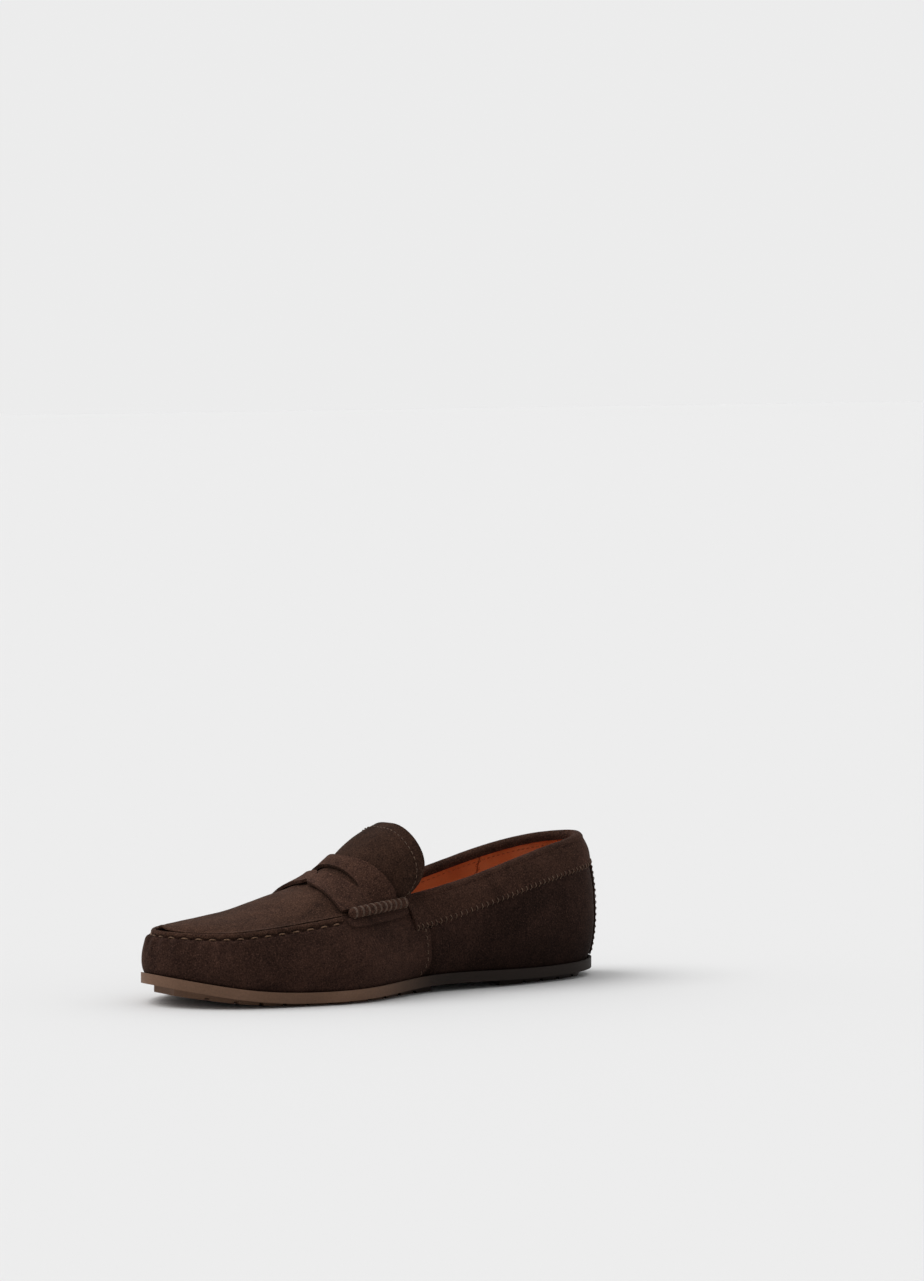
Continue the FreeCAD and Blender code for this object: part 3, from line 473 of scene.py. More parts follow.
def sheet(name, outer, inner, edge=0.45):
    """A closed sheet between two grids of the same size, with rounded cut edges."""
    rows, columns = outer.shape[:2]
    count = rows * columns
    points = np.concatenate([outer.reshape(-1, 3), inner.reshape(-1, 3)])
    faces = grid_faces(rows, columns) + grid_faces(rows, columns, offset=count, flip=True)
    border = rim(rows, columns)
    for a, b in zip(border, border[1:] + border[:1]):
        faces.append([a, b, b + count, a + count])
    uv = measured_uv(outer)
    piece = make_mesh(name, points, faces, np.concatenate([uv, uv]))
    face_out(piece)
    round_edges(piece, edge)
    return piece


def face_out(piece):
    """Turns a closed mesh's faces outwards, by the sign of its volume."""
    mesh = piece.data
    mesh.calc_loop_triangles()
    points = np.zeros(len(mesh.vertices) * 3)
    mesh.vertices.foreach_get("co", points)
    corners = np.zeros(len(mesh.loop_triangles) * 3, np.int32)
    mesh.loop_triangles.foreach_get("vertices", corners)
    a, b, c = points.reshape(-1, 3)[corners.reshape(-1, 3)].transpose(1, 0, 2)
    if np.sum(a * np.cross(b, c)) < 0:
        mesh.flip_normals()


def tubes(name, paths, radii, sides=10):
    """Round cords with closed ends along several paths, in one mesh, with a radius or radii for each."""
    points, faces, uv = [], [], []
    start = 0
    for path, radius in zip(paths, radii):
        path = np.asarray(path, float)
        direction = unit(np.gradient(path, axis=0))
        level = abs(direction[:, 2]).mean() < 0.8
        side = unit(np.cross(direction, np.array([0.0, 0.0, 1.0] if level else [1.0, 0.0, 0.0])))
        up = np.cross(side, direction)
        angles = np.linspace(0, 2 * math.pi, sides, endpoint=False)
        radius = np.broadcast_to(radius, len(path))
        ring = np.cos(angles)[None, :, None] * side[:, None] + np.sin(angles)[None, :, None] * up[:, None]
        points.append((path[:, None] + ring * radius[:, None, None]).reshape(-1, 3))
        run = run_along(path)
        uv.append(np.stack(np.meshgrid(run, angles / (2 * math.pi), indexing="ij"), axis=-1).reshape(-1, 2))
        count = len(path)
        for i in range(count - 1):
            for j in range(sides):
                a, b = start + i * sides + j, start + i * sides + (j + 1) % sides
                faces.append([a, a + sides, b + sides, b])
        faces.append([start + j for j in range(sides)])
        faces.append([start + (count - 1) * sides + j for j in reversed(range(sides))])
        start += count * sides
    piece = make_mesh(name, np.concatenate(points), faces, np.concatenate(uv))
    face_out(piece)
    return piece


def rough(points, scale, seed=0.0):
    """Smooth noise from -1 to 1 at points, with features about scale millimetres wide."""
    flat = points.reshape(-1, 3) / scale + seed
    values = [noise.noise(Vector(p)) for p in flat]
    return np.array(values).reshape(points.shape[:-1])


def dress(piece, material, slot, *nodes):
    """Gives a piece its material, hangs it under the root body, and stands it in for CAD nodes."""
    piece.data.materials.clear()
    piece.data.materials.append(material)
    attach(piece, "root")
    if nodes:
        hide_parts(*nodes)
    return piece


# ---------- materials


WHITE = (1, 1, 1, 1)
BLACK = (0, 0, 0, 1)


def srgb(r, g, b):
    """Linear colour of an 8-bit screen colour."""
    values = []
    for c in (r, g, b):
        c /= 255
        values.append(c / 12.92 if c <= 0.04045 else ((c + 0.055) / 1.055) ** 2.4)
    return (*values, 1.0)


class Nodes:
    """A material's node tree, with short ways to add what the materials here share."""

    def __init__(self, name):
        self.material = bpy.data.materials.new(name)
        self.material.use_nodes = True
        self.tree = self.material.node_tree
        self.shader = self.tree.nodes["Principled BSDF"]
        self.place = self.tree.nodes.new("ShaderNodeTexCoord")

    def set(self, node, **inputs):
        for key, value in inputs.items():
            node.inputs[key.replace("_", " ")].default_value = value

    def add(self, kind, **inputs):
        node = self.tree.nodes.new(kind)
        self.set(node, **inputs)
        return node

    def link(self, a, b):
        self.tree.links.new(a, b)

    def noise(self, scale, detail=2.0, roughness=0.5, distortion=0.0):
        node = self.add("ShaderNodeTexNoise", Scale=scale, Detail=detail, Roughness=roughness)
        self.set(node, Distortion=distortion)
        self.link(self.place.outputs["Object"], node.inputs["Vector"])
        return node.outputs["Fac"]

    def ramp(self, factor, *stops):
        node = self.tree.nodes.new("ShaderNodeValToRGB")
        ramp = node.color_ramp
        while len(ramp.elements) < len(stops):
            ramp.elements.new(0.5)
        for element, (place, colour) in zip(ramp.elements, stops):
            element.position = place
            element.color = colour
        self.link(factor, node.inputs["Fac"])
        return node.outputs["Color"]

    def mix(self, factor, a, b, blend="MIX"):
        node = self.tree.nodes.new("ShaderNodeMix")
        node.data_type = "RGBA"
        node.blend_type = blend
        if isinstance(factor, float):
            node.inputs[0].default_value = factor
        else:
            self.link(factor, node.inputs[0])
        for socket, value in ((node.inputs[6], a), (node.inputs[7], b)):
            if isinstance(value, tuple):
                socket.default_value = value
            else:
                self.link(value, socket)
        return node.outputs[2]

    def finish(self, colour, normal, **numbers):
        """The material, with its colour, its relief and its uniform numbers in place."""
        self.link(colour, self.shader.inputs["Base Color"])
        self.link(normal, self.shader.inputs["Normal"])
        self.set(self.shader, **numbers)
        return self.material

    def times(self, a, b):
        return self.mix(1.0, a, b, "MULTIPLY")

    def along(self, axis, start, end, gain):
        """A grey that goes smoothly from 1 to gain along an axis of the frame."""
        split = self.tree.nodes.new("ShaderNodeSeparateXYZ")
        self.link(self.place.outputs["Object"], split.inputs[0])
        fade = self.add("ShaderNodeMapRange", From_Min=start, From_Max=end, To_Min=1.0, To_Max=gain)
        fade.interpolation_type = "SMOOTHSTEP"
        self.link(split.outputs[axis], fade.inputs["Value"])
        return fade.outputs["Result"]

    def bump(self, height, strength, distance, below=None):
        node = self.add("ShaderNodeBump", Strength=strength, Distance=distance)
        self.link(height, node.inputs["Height"])
        if below:
            self.link(below, node.inputs["Normal"])
        return node.outputs["Normal"]


def tinted(colour, gain, warm=1.0):
    return (colour[0] * gain * warm, colour[1] * gain, colour[2] * gain / warm, 1.0)


def suede(name, colour, *painted_shade_fades):
    """Napped leather: patches where the nap lies over, mottling, and short fibres that catch the light.

    The fades hold (axis, from, to, gain): painted shade, darker or lighter towards one end of the piece, in
    metres.
    """
    n = Nodes(name)
    patches = n.noise(30.0, detail=3.0, roughness=0.55, distortion=0.6)
    mottle = n.noise(210.0, detail=4.0, roughness=0.6)
    fibres = n.noise(1250.0, detail=3.0, roughness=0.75)
    shades = [(at, tinted(colour, gain)) for at, gain in ((0.34, 0.68), (0.50, 1.0), (0.68, 1.25))]
    base = n.ramp(patches, *shades)
    mottled = n.ramp(mottle, (0.30, (0.80, 0.79, 0.82, 1)), (0.52, WHITE), (0.72, (1.22, 1.19, 1.16, 1)))
    base = n.times(base, mottled)
    base = n.times(base, n.ramp(fibres, (0.36, (0.32, 0.29, 0.34, 1)), (0.48, WHITE)))
    flecks = n.ramp(fibres, (0.54, BLACK), (0.76, WHITE))
    base = n.mix(flecks, base, tinted(colour, 3.2, 0.96))
    # painted shade: each fade makes the suede darker or lighter towards one end of the piece
    for axis, start, end, gain in painted_shade_fades:
        base = n.times(base, n.along(axis, start, end, gain))
    n.set(n.shader, Sheen_Weight=0.035, Sheen_Roughness=0.40, Sheen_Tint=srgb(200, 170, 150))
    normal = n.bump(fibres, 0.60, 0.00025, below=n.bump(mottle, 0.30, 0.0005))
    return n.finish(base, normal, Roughness=0.95, Specular_IOR_Level=0.06)


def smooth_leather(name, dark, middle, light):
    """Full-grain lining leather with a fine pebble and a soft shine."""
    n = Nodes(name)
    patches = n.noise(28.0, detail=3.0)
    colour = n.ramp(patches, (0.3, dark), (0.5, middle), (0.72, light))
    cells = n.add("ShaderNodeTexVoronoi", Scale=1100.0)
    n.link(n.place.outputs["Object"], cells.inputs["Vector"])
    pores = n.noise(2600.0, detail=2.0)
    dots = n.ramp(pores, (0.28, (0.72, 0.62, 0.55, 1)), (0.42, WHITE))
    shine = n.add("ShaderNodeMapRange", To_Min=0.42, To_Max=0.62)
    n.link(patches, shine.inputs["Value"])
    n.link(shine.outputs["Result"], n.shader.inputs["Roughness"])
    wrinkles = n.bump(n.noise(160.0, detail=3.0), 0.25, 0.0006)
    normal = n.bump(cells.outputs["Distance"], 0.25, 0.00012, below=wrinkles)
    return n.finish(n.times(colour, dots), normal, Specular_IOR_Level=0.35)


def rubber(name, dark, middle, light):
    """Moulded rubber with a fine dust, and painted shade that darkens it towards the heel."""
    n = Nodes(name)
    patches = n.noise(22.0, detail=4.0)
    colour = n.ramp(patches, (0.3, dark), (0.52, middle), (0.75, light))
    # painted shade: the rubber darkens to a tenth towards the heel
    colour = n.times(colour, n.along("Y", -0.06, 0.030, 0.10))
    dust = n.noise(900.0, detail=3.0, roughness=0.7)
    specks = n.ramp(dust, (0.35, (0.86, 0.86, 0.86, 1)), (0.6, (1.04, 1.03, 1.02, 1)))
    normal = n.bump(dust, 0.2, 0.0001, below=n.bump(n.noise(420.0, detail=3.0), 0.18, 0.0003))
    return n.finish(n.times(colour, specks), normal, Roughness=0.66, Specular_IOR_Level=0.22)


def thread(name, dark, light):
    """Waxed thread: plies twisted round it, from the cord's own measured coordinates."""
    n = Nodes(name)
    twist = n.add("ShaderNodeTexWave", Scale=1.0, Distortion=0.4, Detail=1.0)
    turned = n.add("ShaderNodeMapping", Scale=(1.6, 1.0, 1.0), Rotation=(0.0, 0.0, math.radians(32)))
    n.link(n.place.outputs["UV"], turned.inputs["Vector"])
    n.link(turned.outputs["Vector"], twist.inputs["Vector"])
    wear = n.noise(900.0, detail=2.0)
    colour = n.ramp(wear, (0.35, dark), (0.65, light))
    shade = n.ramp(twist.outputs["Fac"], (0.0, (0.55, 0.5, 0.48, 1)), (0.6, WHITE))
    normal = n.bump(twist.outputs["Fac"], 0.6, 0.0001)
    return n.finish(n.times(colour, shade), normal, Roughness=0.6, Specular_IOR_Level=0.3)


def pressed(name, dark, light, grain=700.0):
    """Fibre board or foam: a fine even grain."""
    n = Nodes(name)
    cells = n.noise(grain, detail=4.0, roughness=0.65)
    colour = n.ramp(cells, (0.35, dark), (0.65, light))
    return n.finish(colour, n.bump(cells, 0.5, 0.0002), Roughness=0.9)


# Five copies of one suede whose brightness differs by painted light and shade: lightest on the strap and
# apron, darkest on the wall and quarters. Their fades are painted shade, darker low down and towards the
# heel.
WALL_SUEDE = suede("dark brown suede, wall", (0.039, 0.0192, 0.0136), ("Z", 0.026, 0.012, 0.75))
QUARTER_SUEDE = suede(
    "dark brown suede, quarters", (0.037, 0.0185, 0.0134),
    ("Z", 0.045, 0.010, 0.52), ("Y", 0.010, 0.075, 0.70),
)
APRON_SUEDE = suede("dark brown suede, apron", (0.054, 0.0270, 0.0178), ("Y", -0.040, -0.015, 0.66))
STRAP_SUEDE = suede("dark brown suede, strap", (0.057, 0.0280, 0.0190))
COLLAR_SUEDE = suede("dark brown suede, collar", (0.044, 0.0215, 0.0147))
TAN = smooth_leather("tan lining leather", srgb(186, 108, 66), srgb(212, 134, 88), srgb(226, 158, 116))
RUBBER = rubber("brown rubber", srgb(98, 73, 58), srgb(110, 83, 65), srgb(122, 93, 75))
SEAM_THREAD = thread("khaki seam thread", srgb(100, 74, 56), srgb(144, 111, 86))
WRAP_THREAD = thread("brown wrapping thread", srgb(72, 54, 44), srgb(118, 94, 78))
FINE_THREAD = thread("brown fine thread", srgb(80, 60, 48), srgb(124, 98, 80))
TAN_THREAD = thread("orange lining thread", srgb(170, 96, 56), srgb(206, 138, 92))
BOARD = pressed("pressed fibre board", srgb(120, 98, 72), srgb(160, 136, 104))
FOAM = pressed("cream foam", srgb(196, 184, 160), srgb(222, 212, 190), 450.0)

# ---------- the vamp and the quarters


def hand(points, seed):
    """Slight unevenness that soft leather keeps over a last."""
    broad, fine = 0.30 * rough(points, 26.0, seed), 0.12 * rough(points, 8.0, seed + 7)
    return broad + fine + 0.04 * rough(points, 2.6, seed + 3)


def seam_phase(turn):
    """Count of stitches passed along the apron seam."""
    return (turn - APRON_START) / (APRON_END - APRON_START) * STITCH_COUNT


def seam_relief(turn, share):
    """How far the wall stands proud near the apron seam: a groove, gathered between the stitches."""
    height = wall_profile(turn, 1.0)[1] - wall_profile(turn, share)[1]
    front = smoothstep(turn, APRON_START - 0.004, APRON_START + 0.004)
    front = front * (1 - smoothstep(turn, APRON_END - 0.004, APRON_END + 0.004))
    tuck = -1.3 * (1 - smoothstep(height, 1.6, 3.0))
    groove = -0.75 * np.exp(-(((height - STITCH_DROP) / 0.9) ** 2))
    phase = seam_phase(turn)
    gather = 0.5 * (1 + np.cos(2 * math.pi * phase))
    toe = 0.55 + 0.45 * np.exp(-(((turn - TOE_TURN) / 0.11) ** 2))
    gathers = 0.62 * toe * gather * np.exp(-(((height - 5.8) / 2.8) ** 2))
    folds = 0.26 * toe * np.cos(2 * math.pi * phase) * np.exp(-(((height - 9.0) / 5.0) ** 2))
    scallop = 0.18 * np.cos(2 * math.pi * phase) * np.exp(-((height / 1.5) ** 2))
    holes = -1.0 * gather**5 * np.exp(-(((height - STITCH_DROP) / 0.8) ** 2))
    return front * (tuck + groove + gathers + folds + scallop + holes)


def foot_tuck(share):
    """The wall rolls under where it meets the sole."""
    return -0.5 * np.exp(-((share / 0.05) ** 2))


def vamp():
    turns = np.linspace(SEAM_LATERAL - SEAM_LAP, SEAM_MEDIAL + SEAM_LAP, 620)
    shares = np.linspace(0.0, 1.0, 64)
    turn, share = np.meshgrid(turns, shares, indexing="ij")
    bow = 0.010 * (1 - smoothstep(share, 0.0, 0.30)) ** 2
    end = smoothstep(turn, SEAM_LATERAL - SEAM_LAP, SEAM_LATERAL + 0.06)
    end_m = smoothstep(-turn, -SEAM_MEDIAL - SEAM_LAP, -SEAM_MEDIAL + 0.06)
    turn = turn + bow * (1 - end) - bow * (1 - end_m)
    flat = wall(turn, share)
    proud = hand(flat, 11.0) + seam_relief(turn, share) + foot_tuck(share)
    over = np.exp(-(((turn - turns[0]) / 0.010) ** 2)) + np.exp(-(((turn - turns[-1]) / 0.010) ** 2))
    proud = proud + 0.55 * over
    outer = wall(turn, share, -proud)
    inner = wall(turn, share, np.maximum(UPPER, 0.9 - proud))
    return dress(sheet("vamp_suede", outer, inner), WALL_SUEDE, "suede", "vamp")


def quarter(side):
    if side == "lateral":
        turns = np.linspace(0.0002, SEAM_LATERAL + 0.003, 230)
        seam_turn = SEAM_LATERAL - SEAM_LAP
    else:
        turns = np.linspace(SEAM_MEDIAL - 0.003, 0.9998, 230)
        seam_turn = SEAM_MEDIAL + SEAM_LAP
    top = share_below_top(turns, 0.4)
    turn, rise = np.meshgrid(turns, np.linspace(0.0, 1.0, 56), indexing="ij")
    share = rise * top[:, None]
    flat = wall(turn, share)
    past = (seam_turn - turn) if side == "lateral" else (turn - seam_turn)
    sunk = 1.15 * (1 - smoothstep(past, -0.001, 0.008))
    proud = hand(flat, 23.0 if side == "lateral" else 37.0) + foot_tuck(share) - sunk
    outer = wall(turn, share, -proud)
    inner = wall(turn, share, np.full(turn.shape, UPPER) + 0.25 + 0.5 * sunk)
    return dress(sheet(f"quarter_{side}_suede", outer, inner), QUARTER_SUEDE, "suede", f"quarter_{side}")


vamp()
for side in ("lateral", "medial"):
    quarter(side)

# ---------- collar band and backstay


def collar_row(turn, proud):
    """Points across the collar band: up the outside, over the top and down inside the lining."""
    low = share_below_top(turn, COLLAR_HEIGHT)
    rows = []
    for k in np.linspace(0.0, 1.0, 20):
        rows.append(wall(turn, low + (1 - low) * k, -proud(turn, k)))
    outer_r, outer_z = wall_profile(turn, 1.0)
    middle = outer_r - WALL_PLIES / 2
    bow = WALL_PLIES / 2 + PLY_GAP + proud(turn, 1.0)
    for angle in np.radians(np.linspace(12, 180, 12)):
        rows.append(place_out(turn, middle + bow * math.cos(angle), outer_z + bow * math.sin(angle)))
    for fall in np.linspace(0.15, 1.0, 6):
        rows.append(place_out(turn, middle - bow, outer_z - COLLAR_TURN_IN * fall))
    return np.stack(rows, axis=1)


def collar_band():
    turns = np.linspace(COLLAR_START, COLLAR_END, 520)
    whips = COLLAR_RUN / WHIP_PITCH

    def outer_proud(turn, k):
        phase = (turn - COLLAR_START) / (COLLAR_END - COLLAR_START) * whips
        pucker = 0.20 * np.cos(2 * math.pi * phase) * math.exp(-((k / 0.16) ** 2))
        padding = 0.75 * math.sin(math.pi * min(1.0, k)) ** 1.5
        return PLY_GAP + COLLAR + pucker + padding - 0.35 * math.exp(-((k / 0.05) ** 2))

    outer = collar_row(turns, outer_proud)
    inner = collar_row(turns, lambda turn, k: PLY_GAP)
    lumps = 0.16 * rough(outer, 20.0, 51.0) + 0.07 * rough(outer, 6.0, 5.0)
    outer = outer + normals_of(outer) * lumps[..., None]
    return dress(sheet("collar_band_suede", outer, inner, 0.4), COLLAR_SUEDE, "suede", "collar_band")


def backstay():
    half = BACKSTAY_WIDTH / 2 / OUTLINE_RUN
    turns = np.linspace(-half, half, 48)
    top = share_below_top(turns, COLLAR_HEIGHT + 0.5)
    turn, rise = np.meshgrid(turns, np.linspace(0.0, 1.0, 60), indexing="ij")
    foot = share_at_height(turns, LIP + 1.0)[:, None]
    share = foot + rise * (top[:, None] - foot)
    flat = wall(turn, share)
    edge = np.minimum(half - np.abs(turn), half * 0.35) / (half * 0.35)
    proud = PLY_GAP + BACKSTAY + 0.35 * smoothstep(edge) + 0.5 * hand(flat, 3.0)
    outer = wall(turn, share, -proud)
    inner = wall(turn, share, -PLY_GAP - 0.2)
    return dress(sheet("backstay_suede", outer, inner, 0.4), QUARTER_SUEDE, "suede", "backstay")


collar_band()
backstay()

# ---------- apron with its tongue


def dense(count):
    return 0.5 - 0.5 * np.cos(np.linspace(0, math.pi, count))


def apron_ridge():
    """The apron's edge rolled over the wall's top: a cord-like ridge, drawn in by every stitch."""
    count = 1500
    turns = np.linspace(APRON_START - 0.004, APRON_END + 0.004, count)
    pull = np.cos(2 * math.pi * seam_phase(turns))
    path = wall(turns, share_below_top(turns, 1.5 + 0.10 * pull), 0.25 + 0.12 * pull)
    path = path + 0.12 * rough(path, 5.0, 64.0)[:, None]
    end = np.minimum(np.arange(count), np.arange(count)[::-1]) / 14.0
    radius = (1.42 + 0.13 * pull) * np.sqrt(np.clip(end, 0.02, 1.0))
    return tubes("apron_ridge", [path], [radius], sides=16)


def take_in(piece, other):
    """Moves another piece's mesh into this one."""
    work = bmesh.new()
    work.from_mesh(piece.data)
    work.from_mesh(other.data)
    work.to_mesh(piece.data)
    work.free()
    smooth_shade(piece.data)
    bpy.data.objects.remove(other)


def apron():
    rows, columns = dense(230) ** 0.8, dense(150)
    a, b = np.meshgrid(rows, columns, indexing="ij")
    face, rise = apron_face(a, b)
    _, near = apron_plan(a, b)
    settle = 1 - np.exp(-((near / 5.0) ** 2))
    lumps = settle * (0.32 * rough(face, 24.0, 81.0) + 0.12 * rough(face, 7.0, 9.0))
    free_edge = np.exp(-(((1 - a) / 0.02) ** 2))
    lumps = lumps - 0.25 * free_edge
    normal = up_normals(face)
    rise = rise[..., None] * np.array([0.0, 0.0, 1.0])
    outer = face + normal * lumps[..., None] + rise
    inner = face - normal * UPPER + rise
    piece = sheet("apron_suede", outer, inner, 0.3)
    take_in(piece, apron_ridge())
    return dress(piece, APRON_SUEDE, "suede", "apron")


apron()

# ---------- the saddle strap with its slot

SLOT_S = 0.607 * LENGTH
SLOT_HALF = 0.37  # half the slot's reach, as a share of the strap's half width


def strap_lines(b):
    """Front edge, the slot's front and rear lips, and the rear edge, as distances from the heel."""
    front, rear = strap_edges(b)
    w = (1 - 2 * b) / (2 * SLOT_HALF)
    inside = np.clip(1 - w * w, 0, 1)
    middle = SLOT_S + 0.5 - 4.5 * np.minimum(w * w, 1.6)
    middle = np.clip(middle, rear + 4.0, front - 4.0)
    opening = 6.4 * np.sqrt(inside)
    notch = 1.9 * np.exp(-((w / 0.085) ** 2))
    bow = 0.9 * np.exp(-(((np.abs(w) - 0.2) / 0.2) ** 2))
    front_lip = middle + opening / 2 + (notch - bow) * (inside > 0)
    return front, front_lip, middle - opening / 2, rear


def strap():
    columns = 201
    b = np.linspace(0, 1, columns)
    front, front_lip, rear_lip, rear = strap_lines(b)
    half_rows = 18
    k = dense(half_rows)[:, None]
    front_band = front + (front_lip - front) * k
    rear_band = rear_lip + (rear - rear_lip) * k
    s = np.concatenate([front_band, rear_band])
    across = np.broadcast_to(b, s.shape)
    slot_open = (front_lip - rear_lip)[None, :]
    near_slot = np.exp(-(((s - (front_lip + rear_lip) / 2) / 4.5) ** 2)) * np.clip(slot_open / 4.4, 0, 1)
    ahead = np.concatenate([np.ones((half_rows, columns)), np.zeros((half_rows, columns))])
    pillow = 0.35 * np.concatenate([np.sin(math.pi * k) * np.ones(columns)] * 2)
    lift = 0.3 * near_slot * (1 - ahead) + pillow
    reach = strap_end(s)
    on_foot = over_foot(s, (1 - 2 * across) * reach)
    normal = up_normals(on_foot)
    free = STRAP_FRONT_LIFT * np.exp(-(((front - s) / 3.0) ** 2)) * (1 - smoothstep(across, 0.45, 0.75))
    free = free + 0.9 * near_slot * ahead
    low = on_foot + normal * (STRAP_LIFT + free)[..., None]
    lumps = 0.18 * rough(on_foot, 16.0, 31.0) + 0.07 * rough(on_foot, 5.0, 2.0)
    outer = on_foot + normal * (STRAP_LIFT + free + lift + STRAP + lumps)[..., None]
    count = s.size
    points = np.concatenate([outer.reshape(-1, 3), low.reshape(-1, 3)])
    middle = columns * half_rows
    closed = np.nonzero((front_lip - rear_lip) < 0.05)[0]
    number = np.arange(2 * count)
    for j in closed:
        for side in (0, count):
            number[side + middle + j] = side + middle - columns + j
    faces = []
    for offset in (0, middle):
        faces += grid_faces(half_rows, columns, offset)
        faces += grid_faces(half_rows, columns, offset + count, flip=True)
    borders = [list(range(columns)), [2 * middle - columns + j for j in range(columns)]]
    borders += [[i * columns + j for i in range(2 * half_rows)] for j in (0, columns - 1)]
    borders += [[row + j for j in range(columns)] for row in (middle - columns, middle)]
    for index, line in enumerate(borders):
        for p, q in zip(line, line[1:]):
            on_slot = index >= 4
            if on_slot and p % columns in closed and q % columns in closed:
                continue
            faces.append([p, q, q + count, p + count])
    faces = [[int(number[v]) for v in face] for face in faces]
    faces = [face for face in faces if len(set(face)) == len(face)]
    uv = measured_uv(outer)
    piece = make_mesh("saddle_strap_suede", points, faces, np.concatenate([uv, uv]))
    tidy_normals(piece)
    round_edges(piece, 0.4)
    return dress(piece, STRAP_SUEDE, "suede", "saddle_strap")


def tidy_normals(piece):
    """Drops unused points and turns all faces outwards."""
    work = bmesh.new()
    work.from_mesh(piece.data)
    loose = [v for v in work.verts if not v.link_faces]
    bmesh.ops.delete(work, geom=loose, context="VERTS")
    bmesh.ops.recalc_face_normals(work, faces=work.faces)
    work.to_mesh(piece.data)
    work.free()


strap()

# ---------- rolls, wraps and tabs


def roll_centre(share, lateral):
    turn = turn_at(share, lateral)
    return wall(turn, share_below_top(turn, ROLL_DROP), -(ROLL_RADIUS + WRAP + PLY_GAP - 0.2))


def roll(side):
    lateral = side == "lateral"
    count = 10
    k = np.linspace(0, 1, 121)
    shares = STRAP_REAR - 0.010 + (STRAP_FRONT - STRAP_REAR + 0.006) * k
    path = roll_centre(shares, lateral)
    wraps = (np.arange(count) + 0.7) / (count + 0.4)
    pinch = np.exp(-(((k[:, None] - wraps) / 0.016) ** 2)).sum(axis=1)
    end = np.minimum(k, 1 - k) / 0.06
    taper = np.sqrt(np.clip(1 - (1 - np.clip(end, 0, 1)) ** 2, 0.02, 1))
    radius = (ROLL_RADIUS + 0.5 - 0.42 * pinch) * taper
    body = tubes(f"strap_roll_{side}_suede", [path], [radius], sides=28)
    dress(body, STRAP_SUEDE, "suede", f"strap_roll_{side}")

    loops = []
    angles = np.linspace(0, 2 * math.pi, 40)
    direction = unit(np.gradient(path, axis=0))
    for i, place in enumerate(wraps):
        at = int(round(place * 120))
        centre, along = path[at], direction[at]
        side_way = np.cross(along, [0, 0, 1.0])
        side_way /= np.linalg.norm(side_way)
        up = np.cross(side_way, along)
        lean = 0.35 * np.sin(angles + i)
        ring = np.cos(angles)[:, None] * side_way + np.sin(angles)[:, None] * up
        for strand in (-0.5, 0.5):
            loops.append(centre + ring * (ROLL_RADIUS + 0.30) + along * (strand * 0.72 + lean)[:, None])
    wrapped = tubes(f"roll_wraps_{side}_thread", loops, [0.36] * len(loops), sides=8)
    dress(wrapped, WRAP_THREAD, "wrap_thread", f"roll_wraps_{side}")


def tab(side):
    lateral = side == "lateral"
    start, end = turn_at(STRAP_REAR - 0.008, lateral), turn_at(STRAP_FRONT, lateral)
    turns = start + (end - start) * dense(90)
    drop = ROLL_DROP + 0.4 * ROLL_RADIUS
    w = np.abs(2 * (turns - start) / (end - start) - 1)
    reach = 0.25 + 0.75 * np.sqrt(np.clip(1 - w**6, 0, 1))
    low = share_below_top(turns, drop + 1.6 + reach * TAB_HEIGHT)
    high = share_below_top(turns, drop)
    turn, rise = np.meshgrid(turns, np.linspace(0, 1, 18), indexing="ij")
    share = low[:, None] + (high - low)[:, None] * rise
    proud = PLY_GAP + TAB + 0.25 * np.sin(math.pi * rise) + 0.4 * hand(wall(turn, share), 71.0) + 0.3
    outer = wall(turn, share, -proud)
    inner = wall(turn, share, -PLY_GAP - 0.25)
    piece = sheet(f"strap_tab_{side}_suede", outer, inner, 0.4)
    return dress(piece, WALL_SUEDE, "suede", f"strap_tab_{side}")


for side in ("lateral", "medial"):
    roll(side)
    tab(side)

# ---------- threads


def stitches(name, surface, starts, ends, radius):
    """Stitches that rise out of a surface and dive back. surface(point, height) gives a place over it."""
    k = np.linspace(0, 1, 9)
    height = radius * 0.9 - (radius + 0.7) * np.abs(2 * k - 1) ** 3.5
    paths = [surface(np.asarray(a)[None] + (np.asarray(b) - np.asarray(a))[None] * k[:, None], height)
             for a, b in zip(starts, ends)]
    return tubes(name, paths, [radius] * len(paths), sides=8)


def on_wall(base):
    """Surface of (turn, share) places, base millimetres proud of the wall."""
    return lambda at, height: wall(at[:, 0], at[:, 1], -(base + height))


def apron_stitches():
    places = (np.arange(STITCH_COUNT) + 0.5) / STITCH_COUNT
    turns = APRON_START + (APRON_END - APRON_START) * places
    half = 1.8 / SEAM_RUN * (APRON_END - APRON_START)
    starts = list(zip(turns - half, share_below_top(turns - half, STITCH_DROP)))
    ends = list(zip(turns + half, share_below_top(turns + half, STITCH_DROP)))
    piece = stitches("apron_stitches_cord", on_wall(-0.45), starts, ends, 0.42)
    return dress(piece, SEAM_THREAD, "cord_thread", "apron_stitches")


def seam_stitches(side):
    lateral = side == "lateral"
    inset = 3.2 / OUTLINE_RUN
    turn = SEAM_LATERAL - SEAM_LAP + inset if lateral else SEAM_MEDIAL + SEAM_LAP - inset
    top = float(share_below_top(np.array([turn]), COLLAR_HEIGHT + 1.5)[0])
    rise = float(wall_profile(np.array([turn]), top)[1][0])
    count = int(rise * 0.9 / FINE_PITCH)
    shares = np.linspace(0.09, top, count)
    bow = 0.010 * (1 - smoothstep(shares, 0.0, 0.30)) ** 2 * (1 if lateral else -1)
    step = FINE_HALF / rise * top
    starts = list(zip(turn + bow, shares - step))
    ends = list(zip(turn + bow, shares + step))
    piece = stitches(f"side_seam_{side}_thread", on_wall(0.45), starts, ends, FINE_RADIUS)
    return dress(piece, FINE_THREAD, "fine_thread", f"side_seam_stitches_{side}")


